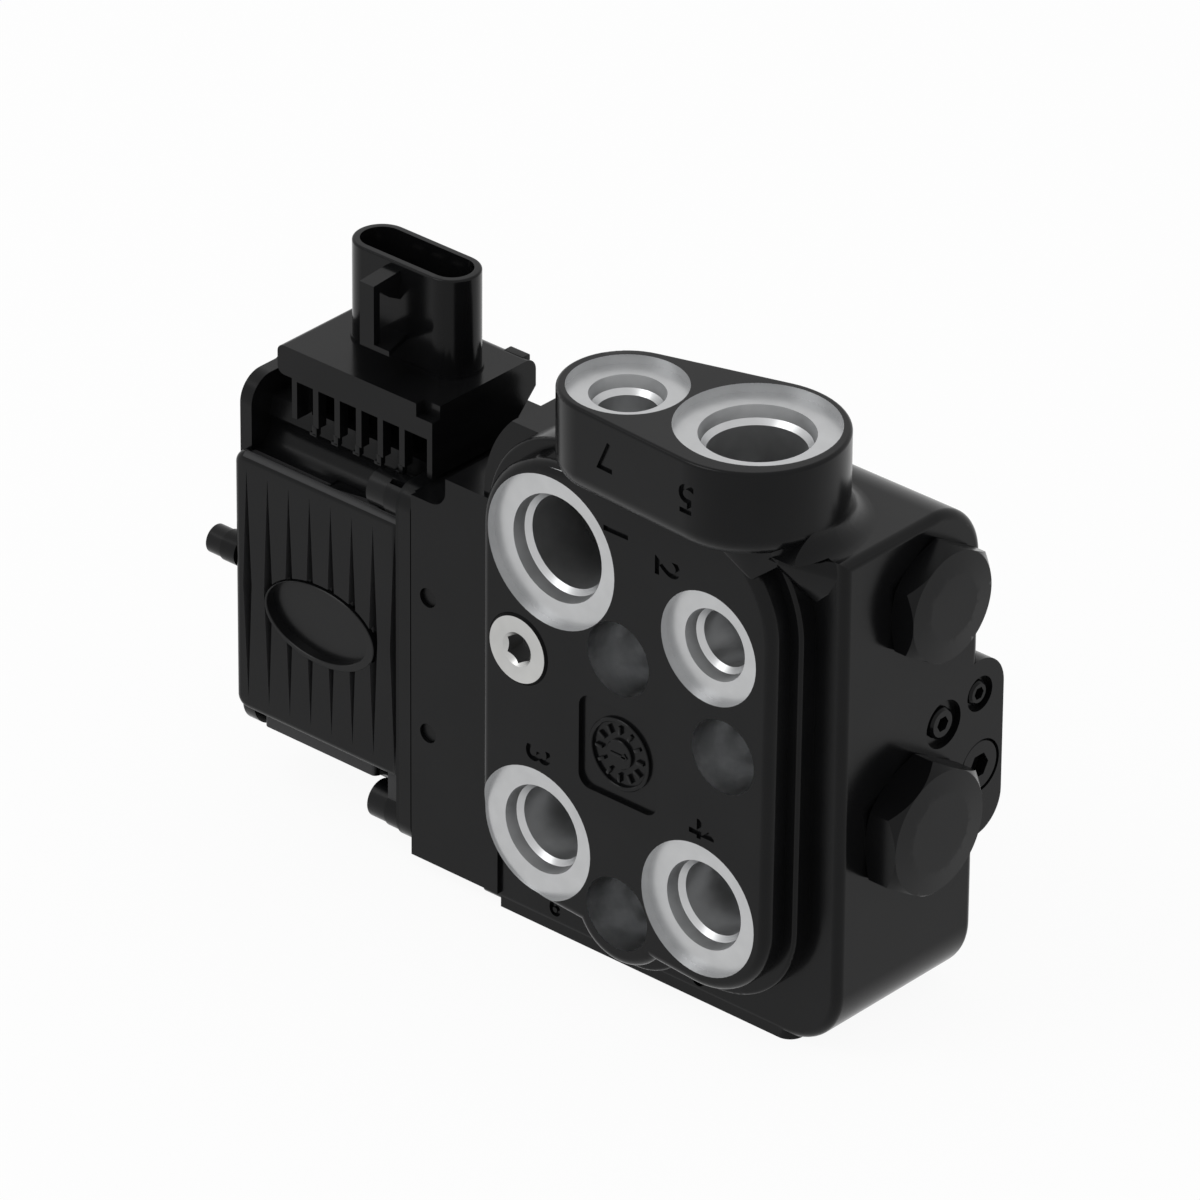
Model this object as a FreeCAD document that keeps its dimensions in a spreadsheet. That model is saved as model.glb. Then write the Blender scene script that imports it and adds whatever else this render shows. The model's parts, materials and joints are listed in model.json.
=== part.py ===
"""Electro-hydraulic steering valve block with its actuator.

A painted casting carries four front ports, two top ports, a main spool and a
priority spool, both along X. The actuator sits on the left face: an adapter
plate, a finned housing with pilot valves, board and position sensor, and a
connector on top. Millimetres, +Z up, origin in the middle of the foot pad's
bottom face, front at -Y, actuator at -X.
"""
import FreeCAD, Part
import math
import os
import Sketcher

V = FreeCAD.Vector
doc = FreeCAD.newDocument("SteeringValve")
sheet = doc.addObject("Spreadsheet::Sheet", "Sizes")

# Driving dimensions
SIZES = [
    # casting
    ("block_right", 51.5), ("block_front", -12.6), ("block_rear", 29.5),
    ("block_top", 115.0), ("block_bottom", 1.1), ("block_left", -44.4),
    ("wing_left", -64.2), ("wing_right", -39.7), ("wing_front", -13.5),
    ("wing_top", 95.5), ("wing_bottom", 3.3), ("shoulder_radius", 27.0),
    ("notch_right", -54.2), ("notch_floor", 88.4), ("notch_round", 4.0),
    ("lower_corner_radius", 14.0), ("rear_top_radius", 14.0), ("casting_round", 2.0),
    ("foot_left", -39.6), ("foot_right", 39.6), ("foot_front", -12.5), ("foot_rear", 12.5),
    ("foot_corner_radius", 3.5),
    # port pad
    ("pad_front", -22.5), ("pad_step", 5.4), ("ledge_width", 3.0), ("pad_round", 2.2),
    ("ledge_round", 0.8), ("pad_p_x", -16.6), ("pad_radius_p", 19.8), ("pad_corner_x", 17.8),
    ("pad_corner_z", 96.0), ("pad_radius_corner", 23.5), ("pad_radius_l", 18.2),
    ("pad_radius_r", 15.1), ("lobe_radius", 12.0),
    # ports: places
    ("p_x", -17.4), ("p_z", 96.3), ("ls_x", 24.6), ("ls_z", 90.3),
    ("r_x", -21.3), ("r_z", 29.3), ("l_x", 22.6), ("l_z", 29.2),
    ("ef_x", 24.7), ("ef_y", -8.6), ("dr_x", -5.1), ("dr_y", -13.6),
    # ports: spotface, seat and thread radii, and the spotface depth
    ("spot_depth", 2.0), ("seat_depth", 2.7), ("ring_depth", 1.1),
    ("large_spot", 17.0), ("large_seat", 11.9), ("large_neck", 11.3), ("large_bore", 10.2),
    ("medium_spot", 15.0), ("medium_seat", 9.9), ("medium_neck", 9.3), ("medium_bore", 8.2),
    ("small_spot", 12.5), ("small_seat", 7.9), ("small_neck", 7.3), ("small_bore", 6.2),
    ("large_depth", 20.0), ("medium_depth", 18.0), ("small_depth", 16.0),
    # top boss
    ("boss_top", 135.5), ("boss_under", 105.0), ("boss_radius_dr", 14.4), ("boss_radius_ef", 19.8),
    ("boss_ef_x", 24.3), ("boss_ef_y", -9.7), ("boss_dr_x", -5.3), ("boss_dr_y", -13.3),
    ("boss_round", 0.8), ("boss_swell", 0.5), ("boss_turn", 4.9), ("boss_root", 5.0),
    ("flare_reach", 7.9), ("flare_drop", 3.0), ("margin", 30.0),
    # fixing bores
    ("fix_a_x", 0.8), ("fix_a_z", 78.7), ("fix_b_x", 28.8), ("fix_b_z", 67.1),
    ("fix_c_x", 1.1), ("fix_c_z", 19.3), ("fix_head_radius", 8.2), ("fix_head_depth", 20.0),
    ("fix_radius", 5.25),
    # badge recess in the pad
    ("badge_x", 0.9), ("badge_z", 56.4), ("badge_width", 21.0), ("badge_height", 21.5),
    ("badge_depth", 1.0), ("badge_round", 3.0),
    # spool lines
    ("spool_y", 8.6), ("spool_z", 48.2), ("spool_radius", 9.0), ("spool_land", 8.97),
    ("spool_neck", 5.5), ("spool_half", 40.0), ("spool_mid", -14.0), ("neck_half", 4.0),
    ("priority_y", 13.7), ("priority_z", 97.2), ("priority_radius", 8.5), ("priority_land", 8.47),
    ("priority_neck", 5.0), ("priority_length", 52.0), ("priority_neck_half", 5.0),
    ("priority_end", -36.0), ("play", 0.1), ("fit", 0.05), ("way_radius", 4.0), ("p_way_radius", 5.0),
    # hexagon caps
    ("cap_flats", 27.0), ("cap_head", 8.3), ("cap_spigot", 16.0), ("cap_thread", 11.9),
    ("small_cap_flats", 24.0), ("small_cap_head", 6.1), ("small_cap_spigot", 14.0),
    ("small_cap_thread", 10.9), ("cap_web", 3.0), ("cap_wall", 3.0), ("cap_neck_length", 2.6),
    ("cap_neck_depth", 1.1), ("cap_dome", 0.4), ("cap_rim", 4.9), ("seal_gap", 0.3),
    # plugs
    ("front_plug_x", -26.0), ("front_plug_z", 70.7), ("front_plug_radius", 7.9),
    ("front_plug_length", 10.0), ("front_seal_width", 2.0), ("front_seal_thick", 1.4),
    ("front_plug_key", 5.0), ("front_cavity_radius", 5.0), ("front_cavity_end", 10.0),
    ("plug_inset", 0.2), ("plug_counter", 1.5), ("plug_bevel", 0.5),
    ("relief_y", 18.7), ("relief_z", 65.8), ("relief_ring", 5.3), ("relief_plug_radius", 3.4),
    ("relief_bore", 2.6), ("relief_depth", 15.0), ("relief_plug_length", 6.4),
    ("relief_plug_key", 3.0),
    ("gauge_y", 29.9), ("gauge_z", 68.1), ("gauge_ring", 3.9), ("gauge_plug_radius", 2.6),
    ("gauge_plug_length", 6.5), ("gauge_plug_key", 2.5),
    ("suction_y", 30.5), ("suction_z", 51.0), ("suction_plug_radius", 5.9),
    ("suction_plug_length", 4.6), ("suction_plug_key", 5.0), ("suction_bore", 2.6),
    ("suction_depth", 13.6), ("lug_radius", 7.9), ("lug_left", 36.0), ("lug_low_z", 43.0),
    ("expander_x", -59.0), ("expander_low_z", 34.0), ("expander_high_z", 66.0),
    ("expander_radius", 2.1), ("expander_length", 4.0), ("expander_stand", 0.2),
    # actuator
    ("plate_thick", 3.2), ("plate_front", -13.2), ("plate_rear", 31.3), ("plate_bottom", 4.4),
    ("plate_top", 88.4), ("plate_round", 5.0), ("gasket_thick", 0.8),
    ("housing_left", -112.4), ("fins_left", -114.6), ("housing_front", -12.5), ("housing_rear", 31.0),
    ("fins_bottom", 18.5), ("fins_back", -9.1), ("fins_top", 79.7), ("housing_bottom", 10.8),
    ("housing_top", 89.3), ("fin_corner", 3.0), ("fin_round", 1.8), ("lip_round", 1.2),
    ("ridge_width", 2.0), ("ridge_groove", 1.3), ("ridge_depth", 1.5), ("recess_left", -90.8),
    ("recess_right", -75.0), ("recess_reach", 4.4),
    ("cove_depth", 10.0), ("cove_start", 1.5), ("cove_offset", 0.2), ("cavity_front", -5.5),
    ("cavity_rear", 27.5), ("cavity_bottom", 21.0), ("cavity_top", 76.0), ("cavity_depth", 42.0),
    ("bay_front", 0.5), ("bay_rear", 19.5), ("bay_bottom", 14.5), ("bay_top", 85.0),
    ("lip_setback", 4.3), ("lip_inset", 2.0), ("lip_end", 10.4),
    ("groove_pitch", 5.91), ("groove_width", 2.4), ("groove_depth", 4.0), ("groove_first", -110.7),
    ("groove_half", 27.2), ("groove_count", 8),
    ("island_x", -90.6), ("island_z", 46.6), ("island_reach", 15.4), ("island_rise", 9.1),
    ("end_thick", 3.2), ("end_front", -9.0), ("end_rear", 31.0), ("end_bottom", 11.5),
    ("end_top", 94.8), ("end_round", 6.0),
    ("screw_front", -7.7), ("screw_rear", 26.0), ("screw_low", 8.9), ("screw_high", 83.0),
    ("screw_shank", 2.5), ("screw_head", 4.25), ("screw_head_height", 5.0), ("ear_thick", 4.4),
    ("screw_grip", 12.0), ("screw_key", 4.0), ("screw_key_depth", 3.0), ("ear_margin", 0.3),
    ("end_screw_z", 54.0), ("end_screw_head", 3.2), ("end_screw_height", 4.2), ("end_boss", 3.0),
    ("end_screw_shank", 1.5), ("end_screw_margin", 4.5), ("end_screw_drop", 4.0), ("end_screw_grip", 2.5),
    ("end_screw_key", 2.5), ("end_screw_key_depth", 2.0),
    # connector cap and socket
    ("hood_left", -106.5), ("hood_right", -63.5), ("hood_front", -7.3), ("hood_rear", 24.2),
    ("hood_top", 105.4), ("hood_bottom", 89.4), ("hood_wall", 2.4), ("hood_round", 3.0),
    ("hood_plate", 6.8), ("hood_roof", 5.0), ("hood_inset", 4.0), ("hood_corner", 1.8),
    ("hood_scoop", 6.7), ("hood_bend", 5.2), ("window_first", -101.1), ("window_pitch", 6.0),
    ("window_width", 4.5), ("window_high", 98.2), ("window_count", 6), ("last_window", 6.2),
    ("corner_cut_width", 4.4), ("corner_cut_depth", 2.4), ("corner_cut_height", 3.0),
    ("socket_x", -83.5), ("socket_y", 10.0), ("socket_length", 31.7), ("socket_depth", 12.4),
    ("socket_top", 127.9), ("socket_wall", 1.6), ("socket_bead", 0.4), ("bead_height", 0.6),
    ("socket_round", 0.5), ("socket_floor", 111.0),
    ("blade_width", 2.8), ("blade_thick", 0.8), ("blade_pitch", 5.4), ("blade_top", 122.5),
    ("blade_tail", 3.0), ("blade_gap", 0.3),
    # inside the actuator
    ("board_thick", 1.6), ("board_front", -4.0), ("coil_radius", 6.5), ("coil_length", 26.0),
    ("coil_front_y", 5.5), ("coil_rear_y", 19.5), ("coil_low_z", 28.0), ("coil_high_z", 69.0),
    ("coil_flange", 3.0), ("coil_inset", 1.0), ("coil_nose", 2.5), ("coil_nose_inset", 2.5),
    ("sensor_radius", 5.5), ("sensor_length", 36.0), ("sensor_wall", 2.0), ("sensor_flange", 1.5),
    ("sensor_flange_thick", 2.5), ("core_radius", 2.5), ("core_length", 26.0), ("core_gap", 0.5),
    ("rod_radius", 1.2), ("rod_length", 13.0), ("screen_radius", 4.0), ("screen_bore", 1.5),
    ("screen_length", 5.7), ("screen_z", 71.0),
    ("face_seal_inner", 12.0), ("face_seal_outer", 16.0), ("face_seal_half", 1.0), ("face_groove", 1.2),
    ("board_margin", 1.0), ("post_radius", 2.2), ("board_inset", 4.0), ("board_screw_head", 2.0),
    ("board_screw_height", 1.2), ("board_screw_shank", 1.0), ("board_screw_grip", 1.0),
    ("chip_left", 16.0), ("chip_side", 12.0), ("chip_height", 1.4), ("chip_spread", 8.5),
    ("can_left", 8.0), ("can_radius", 3.2), ("can_height", 5.5), ("can_spread", 14.0),
    # springs and poppets
    ("seat_thick", 1.6), ("spring_radius", 6.0), ("spring_wire", 0.9), ("poppet_length", 12.0),
    ("poppet_nose", 4.0), ("poppet_tip", 2.0), ("pilot_spring_radius", 3.6), ("pilot_wire", 0.8),
    ("relief_poppet_length", 3.5), ("relief_nose", 2.0), ("relief_tip", 0.8), ("relief_spring_radius", 1.8),
    ("relief_wire", 0.5), ("suction_spring_radius", 1.7), ("suction_wire", 0.45),
    # connector latch
    ("latch_left", -86.3), ("latch_width", 3.9), ("latch_low", 111.2), ("latch_high", 126.4),
    ("latch_reach", 8.0), ("latch_bar", 1.8), ("latch_slope", 0.6), ("latch_web", 1.2),
    ("latch_gusset", 6.6), ("latch_tooth", 4.8), ("latch_tooth_reach", 3.4),
    ("latch_shelf", 8.1), ("shelf_taper", 2.4),
]


def fill_sheet():
    """Write every driving dimension to its own cell, as text with an alias."""
    for row, (alias, value) in enumerate(SIZES, start=1):
        sheet.set("A%d" % row, alias.replace("_", " "))
        sheet.set("B%d" % row, repr(value))
        sheet.setAlias("B%d" % row, alias)
    doc.recompute()


fill_sheet()

ALIASES = sorted((alias for alias, _ in SIZES), key=len, reverse=True)
NODES = {}


def size(alias):
    """Value of one cell in millimetres."""
    return float(getattr(sheet, alias))


def bound(expression):
    """Expression with each alias written as a reference to its cell."""
    words = []
    word = ""
    for sign in expression + " ":
        if sign.isalnum() or sign in "_.":
            word += sign
            continue
        words.append("Sizes." + word if word in ALIASES else word)
        words.append(sign)
        word = ""
    return "".join(words).strip()


def value(expression):
    """Number that an expression on the sheet gives now."""
    return float(sheet.evalExpression(bound(expression)))


TURNS = {
    "+X": FreeCAD.Rotation(V(0, 1, 0), 90), "-X": FreeCAD.Rotation(V(0, 1, 0), -90),
    "+Y": FreeCAD.Rotation(V(1, 0, 0), -90), "-Y": FreeCAD.Rotation(V(1, 0, 0), 90),
    "+Z": FreeCAD.Rotation(), "-Z": FreeCAD.Rotation(V(1, 0, 0), 180),
}


def place(item, at, towards="+Z"):
    """Put an object's own Z axis along a direction, its origin at three expressions."""
    item.Placement = FreeCAD.Placement(V(), TURNS[towards])
    for letter, expression in zip("xyz", at):
        item.setExpression("Placement.Base." + letter, bound(expression))
    return item


def rod(at, towards, radius, length):
    """Cylinder from a point along a direction."""
    item = doc.addObject("Part::Cylinder", "Rod")
    item.setExpression("Radius", bound(radius))
    item.setExpression("Height", bound(length))
    return place(item, at, towards)


def box(low, high):
    """Box between two corners, each of three expressions."""
    item = doc.addObject("Part::Box", "Box")
    for name, start, end in zip(("Length", "Width", "Height"), low, high):
        item.setExpression(name, bound("(%s) - (%s)" % (end, start)))
    return place(item, low)


def fuse(*items):
    """One solid of several."""
    item = doc.addObject("Part::MultiFuse", "Joined")
    item.Shapes = list(items)
    item.Refine = True
    return item


def cut(base, *tools):
    """A solid less its tools."""
    item = doc.addObject("Part::Cut", "Cut")
    item.Base = base
    item.Tool = tools[0] if len(tools) == 1 else group(*tools)
    item.Refine = True
    return item


def common(*items):
    """What several solids share."""
    item = doc.addObject("Part::MultiCommon", "Shared")
    item.Shapes = list(items)
    return item


def group(*items):
    """Several solids side by side in one object."""
    item = doc.addObject("Part::Compound", "Group")
    item.Links = list(items)
    return item


def rounded(base, radius, test):
    """Base with the edges that pass a test on (edge, its box) rounded."""
    doc.recompute()
    item = doc.addObject("Part::Fillet", "Rounded")
    item.Base = base
    chosen = [number for number, edge in enumerate(base.Shape.Edges, start=1)
              if test(edge, edge.BoundBox)]
    item.Edges = [(number, radius, radius) for number in chosen]
    return item


def along(axis, *limits):
    """Test for straight edges along an axis whose box centre is near given values."""
    def test(edge, extent):
        lengths = (extent.XLength, extent.YLength, extent.ZLength)
        runs_along = all(length < 0.01 for number, length in enumerate(lengths)
                         if number != "XYZ".index(axis))
        centre = {"X": extent.Center.x, "Y": extent.Center.y, "Z": extent.Center.z}
        return runs_along and all(abs(centre[name] - spot) < 0.01 for name, spot in limits)
    return test


def in_plane(axis, spot):
    """Test for edges that lie in the plane axis = spot."""
    def test(edge, extent):
        low = {"X": extent.XMin, "Y": extent.YMin, "Z": extent.ZMin}[axis]
        high = {"X": extent.XMax, "Y": extent.YMax, "Z": extent.ZMax}[axis]
        return abs(low - spot) < 0.01 and abs(high - spot) < 0.01
    return test


def node(name, item):
    """Name a finished piece."""
    item.Label = name
    NODES[name] = item
    return item


def corner_points(sketch, points):
    """Closed outline of straight lines through points given as pairs of expressions."""
    spots = [(value(x), value(y)) for x, y in points]
    first = sketch.GeometryCount
    count = len(points)
    for here, spot in enumerate(spots):
        following = spots[(here + 1) % count]
        sketch.addGeometry(Part.LineSegment(V(spot[0], spot[1], 0), V(following[0], following[1], 0)))
    for here in range(count):
        sketch.addConstraint(Sketcher.Constraint(
            "Coincident", first + here, 2, first + (here + 1) % count, 1))
    for here, pair in enumerate(points):
        for kind, expression, now in zip(("DistanceX", "DistanceY"), pair, spots[here]):
            index = sketch.addConstraint(Sketcher.Constraint(kind, -1, 1, first + here, 1, now))
            sketch.setExpression("Constraints[%d]" % index, bound(expression))


def belt_points(circles):
    """Start and end of each straight run of a belt round circles (x, y, r), anticlockwise."""
    runs = []
    for here, (x0, y0, r0) in enumerate(circles):
        x1, y1, r1 = circles[(here + 1) % len(circles)]
        reach = math.hypot(x1 - x0, y1 - y0)
        heading = math.atan2(y1 - y0, x1 - x0)
        lean = heading - math.pi / 2 + math.asin((r1 - r0) / reach) * -1
        side = V(math.cos(lean), math.sin(lean), 0)
        runs.append((V(x0, y0, 0) + side * r0, V(x1, y1, 0) + side * r1))
    return runs


def belt(sketch, circles):
    """Outline round circles given as triples of expressions, joined by tangent lines."""
    now = [tuple(value(part) for part in circle) for circle in circles]
    runs = belt_points(now)
    count = len(circles)
    for start, end in runs:
        sketch.addGeometry(Part.LineSegment(start, end))
    for here, (x, y, radius) in enumerate(now):
        arrival = runs[here - 1][1]
        departure = runs[here][0]
        begin = math.atan2(arrival.y - y, arrival.x - x)
        finish = math.atan2(departure.y - y, departure.x - x)
        round_part = Part.Circle(V(x, y, 0), V(0, 0, 1), radius)
        sketch.addGeometry(Part.ArcOfCircle(round_part, begin, finish))
    for here in range(count):
        arc = count + here
        sketch.addConstraint(Sketcher.Constraint("Tangent", here - 1 if here else count - 1, 2, arc, 1))
        sketch.addConstraint(Sketcher.Constraint("Tangent", arc, 2, here, 1))
        parts = zip(("DistanceX", "DistanceY", "Radius"), circles[here], now[here])
        for kind, expression, number in parts:
            if kind == "Radius":
                index = sketch.addConstraint(Sketcher.Constraint(kind, arc, number))
            else:
                index = sketch.addConstraint(Sketcher.Constraint(kind, -1, 1, arc, 3, number))
            sketch.setExpression("Constraints[%d]" % index, bound(expression))


def prism(sketch_maker, at, towards, length):
    """Solid drawn by sketch_maker(sketch) in a plane and extruded along the plane's normal."""
    sketch = doc.addObject("Sketcher::SketchObject", "Outline")
    sketch_maker(sketch)
    place(sketch, at, towards)
    item = doc.addObject("Part::Extrusion", "Prism")
    item.Base = sketch
    item.DirMode = "Normal"
    item.Solid = True
    item.setExpression("LengthFwd", bound(length))
    return item


def turned(name, points, at, towards):
    """Body turned about its own Z axis from half a section, points as (radius, height)."""
    body = doc.addObject("PartDesign::Body", name)
    sketch = body.newObject("Sketcher::SketchObject", name + "_section")
    plane = [item for item in body.Origin.OriginFeatures if item.Role == "XZ_Plane"][0]
    sketch.AttachmentSupport = [(plane, "")]
    sketch.MapMode = "FlatFace"
    corner_points(sketch, points)
    spin = body.newObject("PartDesign::Revolution", name + "_turning")
    spin.Profile = sketch
    spin.ReferenceAxis = (sketch, ["V_Axis"])
    spin.Angle = 360
    place(body, at, towards)
    return body


def hexagon(sketch, flats, corners_on="Y"):
    """Regular hexagon across flats, with two corners on one of the sketch's axes."""
    half = "(%s) / 2" % flats
    corner = "(%s) / sqrt(3)" % flats
    points = [(half, "-" + corner + " / 2"), (half, corner + " / 2"), ("0", corner),
              ("-" + half, corner + " / 2"), ("-" + half, "-" + corner + " / 2"), ("0", "-" + corner)]
    if corners_on == "X":
        points = [(y, x) for x, y in points]
    corner_points(sketch, points)


def hex_head(body, flats, start, height):
    """Hexagon pad on a turned body's axis between two heights."""
    sketch = body.newObject("Sketcher::SketchObject", body.Name + "_hexagon")
    plane = [item for item in body.Origin.OriginFeatures if item.Role == "XY_Plane"][0]
    sketch.AttachmentSupport = [(plane, "")]
    sketch.MapMode = "FlatFace"
    sketch.setExpression("AttachmentOffset.Base.z", bound(start))
    hexagon(sketch, flats, "X")
    pad = body.newObject("PartDesign::Pad", body.Name + "_head")
    pad.Profile = sketch
    pad.setExpression("Length", bound(height))
    return pad


def hex_bevels(body, flats, height):
    """Turns the corners of a hexagon head down to a circle at both ends."""
    sketch = body.newObject("Sketcher::SketchObject", body.Name + "_bevel_section")
    plane = [item for item in body.Origin.OriginFeatures if item.Role == "XZ_Plane"][0]
    sketch.AttachmentSupport = [(plane, "")]
    sketch.MapMode = "FlatFace"
    half = "(%s) / 2" % flats
    reach = "(%s) / sqrt(3) + 1" % flats
    rise = "((%s) - (%s))" % (reach, half)
    corner_points(sketch, [(half, height), (reach, height + " - " + rise), (reach, height)])
    corner_points(sketch, [(half, "0"), (reach, "0"), (reach, rise + " / 2")])
    groove = body.newObject("PartDesign::Groove", body.Name + "_bevels")
    groove.Profile = sketch
    groove.ReferenceAxis = (sketch, ["V_Axis"])
    groove.Angle = 360
    return groove


def hex_socket(body, flats, top, depth):
    """Hexagonal hole cut down from a height on a turned body's axis."""
    sketch = body.newObject("Sketcher::SketchObject", body.Name + "_socket_outline")
    plane = [item for item in body.Origin.OriginFeatures if item.Role == "XY_Plane"][0]
    sketch.AttachmentSupport = [(plane, "")]
    sketch.MapMode = "FlatFace"
    sketch.setExpression("AttachmentOffset.Base.z", bound(top))
    hexagon(sketch, flats)
    pocket = body.newObject("PartDesign::Pocket", body.Name + "_socket")
    pocket.Profile = sketch
    pocket.setExpression("Length", bound(depth))
    return pocket


# Casting: outer form
PORTS = {
    "p": ("large", ("p_x", "pad_front", "p_z"), "+Y"),
    "ls": ("small", ("ls_x", "pad_front", "ls_z"), "+Y"),
    "r": ("medium", ("r_x", "pad_front", "r_z"), "+Y"),
    "l": ("medium", ("l_x", "pad_front", "l_z"), "+Y"),
    "ef": ("large", ("ef_x", "ef_y", "boss_top"), "-Z"),
    "dr": ("small", ("dr_x", "dr_y", "boss_top"), "-Z"),
}


def port_cutter(kind, at, towards):
    """Stud port: spotface, tapered seal seat, bright ring, bore and drill point."""
    spot, seat, neck, bore = [kind + "_" + part for part in ("spot", "seat", "neck", "bore")]
    depths = ["0", "spot_depth", "spot_depth + seat_depth",
              "spot_depth + seat_depth + ring_depth", kind + "_depth"]
    sketch = doc.addObject("Sketcher::SketchObject", "Port_section")
    points = [("0", "-1"), (spot, "-1"), (spot, depths[1]), (seat, depths[1]), (neck, depths[2]),
              (bore, depths[3]), (bore, depths[4]), ("0", depths[4] + " + %s * 0.5" % bore)]
    corner_points(sketch, points)
    sketch.Placement = FreeCAD.Placement(V(), FreeCAD.Rotation(V(1, 0, 0), 90))
    item = doc.addObject("Part::Revolution", "Port_cutter")
    item.Source = sketch
    item.Axis = V(0, 0, 1)
    item.Base = V(0, 0, 0)
    item.Angle = 360
    item.Solid = True
    return place(item, at, towards)


def pad_circles(grow):
    """Circles that the pad's outline wraps, anticlockwise seen from behind, grown by a width."""
    ring_names = [("r_x", "r_z", "pad_radius_r"), ("l_x", "l_z", "pad_radius_l"),
                  ("pad_corner_x", "pad_corner_z", "pad_radius_corner"),
                  ("pad_p_x", "p_z", "pad_radius_p")]
    return [(x, "-(%s)" % z, "%s + %s" % (radius, grow)) for x, z, radius in reversed(ring_names)]


def pad_tier(grow, front, thickness, rim):
    """One step of the port pad: a belt round the ports and a lobe round a fixing bore."""
    plate = prism(lambda sketch: belt(sketch, pad_circles(grow)), ("0", front, "0"), "+Y", thickness)
    lobe = rod(("fix_c_x", front, "fix_c_z"), "+Y", "lobe_radius + " + grow, thickness)
    doc.recompute()
    tier = fuse(plate, lobe)
    return rounded(tier, size(rim), in_plane("Y", value(front)))


def profile(points, left, right):
    """Prism along X of an outline of (y, z) points."""
    return prism(lambda sketch: corner_points(sketch, [("-(%s)" % z, y) for y, z in points]),
                 (left, "0", "0"), "+X", "%s - (%s)" % (right, left))


def block_core():
    """Main prism of the casting with its shoulder, round corners and edges."""
    low = ("block_left", "block_front", "block_bottom")
    high = ("block_right", "block_rear", "block_top")
    prism_box = box(low, high)
    keep = fuse(
        rod(("p_x", "block_front - 1", "p_z"), "+Y", "shoulder_radius", "block_rear - block_front + 2"),
        box(("p_x", "block_front - 1", "block_bottom - 1"),
            ("block_right + 1", "block_rear + 1", "block_top + 1")),
        box(("block_left - 1", "block_front - 1", "block_bottom - 1"),
            ("p_x + 1", "block_rear + 1", "p_z")))
    shape = common(prism_box, keep)
    right = size("block_right")
    bottom = size("block_bottom")
    top = size("block_top")
    rear = size("block_rear")
    front = size("block_front")
    shape = rounded(shape, size("lower_corner_radius"), along("Y", ("X", right), ("Z", bottom)))
    shape = rounded(shape, size("rear_top_radius"), along("X", ("Y", rear), ("Z", top)))
    edges = in_plane("X", right)
    shape = rounded(shape, size("casting_round"),
                    lambda edge, extent: edges(edge, extent) and extent.YMin < front + 0.01)
    return shape


def boss_prism(grow, low, high):
    """Upright prism of the top boss's outline, grown by a width."""
    circles = [("boss_dr_x", "boss_dr_y", "boss_radius_dr + " + grow),
               ("boss_ef_x", "boss_ef_y", "boss_radius_ef + " + grow)]
    return prism(lambda sketch: belt(sketch, circles), ("0", "0", low), "+Z", "%s - (%s)" % (high, low))


def top_boss():
    """Boss with a round rim and a round lower edge, flared where it stands on the block."""
    boss = boss_prism("0", "block_top + boss_swell", "boss_top")
    boss = rounded(boss, size("boss_round"), in_plane("Z", size("boss_top")))
    boss = rounded(boss, size("boss_turn"), in_plane("Z", value("block_top + boss_swell")))
    plate = box(("block_left - margin", "pad_front - margin", "boss_under"),
                ("block_right + margin", "block_rear + margin", "block_top"))
    flare = fuse(plate, boss_prism("0", "boss_under", "boss_top"))
    on_top = in_plane("Z", size("block_top"))
    left = size("block_left")
    flare = rounded(flare, size("boss_root"),
                    lambda edge, extent: on_top(edge, extent) and extent.XLength < -2 * left
                    and extent.XMin > left)
    high = "block_top + 1.2 * boss_root"
    wedge = profile([("block_front", high), ("block_front - flare_reach", "block_top"),
                     ("block_front - flare_reach / 2", "block_top - flare_drop"),
                     ("block_front", "boss_under"), ("block_rear", "boss_under"), ("block_rear", high)],
                    "block_left", "block_right")
    return boss, common(flare, boss_prism("boss_root", "boss_under", high), wedge)


def casting():
    """Outer form of the block before its bores."""
    wing = box(("wing_left", "wing_front", "wing_bottom"), ("wing_right", "block_rear", "wing_top"))
    notch = box(("wing_left - 10", "wing_front - 1", "notch_floor"),
                ("notch_right", "block_rear + 1", "wing_top + 9"))
    notch = rounded(notch, size("notch_round"),
                    along("Y", ("X", size("notch_right")), ("Z", size("notch_floor"))))
    wing = cut(wing, notch)
    foot = box(("foot_left", "foot_front", "0"), ("foot_right", "foot_rear", "block_bottom + 5"))
    foot = rounded(foot, size("foot_corner_radius"), along("Z", ("X", size("foot_right"))))
    outer = pad_tier("ledge_width", "pad_front + pad_step", "block_front - pad_front - pad_step + 3",
                     "ledge_round")
    inner = pad_tier("0", "pad_front", "pad_step + 3", "pad_round")
    lug_circles = [("-lug_low_z", "block_rear", "lug_radius"), ("-gauge_z", "block_rear", "lug_radius")]
    lug = prism(lambda sketch: belt(sketch, lug_circles), ("lug_left", "0", "0"), "+X",
                "block_right - lug_left")
    return fuse(block_core(), wing, foot, outer, inner, lug, *top_boss())


# Casting: bores
def galleries():
    """Drilled and cored ways between ports and spool bores."""
    items = []
    for port in ("r", "l"):
        items.append(rod((port + "_x", "pad_front + medium_depth - way_radius", port + "_z"), "+Y",
                         "way_radius", "spool_y - pad_front - medium_depth + way_radius"))
        items.append(rod((port + "_x", "spool_y", port + "_z - way_radius"), "+Z", "way_radius",
                         "spool_z - %s_z" % port))
    items.append(rod(("ef_x", "ef_y", "boss_top - large_depth"), "-Z", "way_radius",
                     "boss_top - large_depth - priority_z + way_radius"))
    items.append(rod(("ef_x", "ef_y", "priority_z"), "+Y", "way_radius", "priority_y - ef_y"))
    items.append(rod(("p_x", "pad_front + large_depth - 1", "p_z"), "+Y", "p_way_radius",
                     "priority_y - pad_front - large_depth"))
    return items


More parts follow.
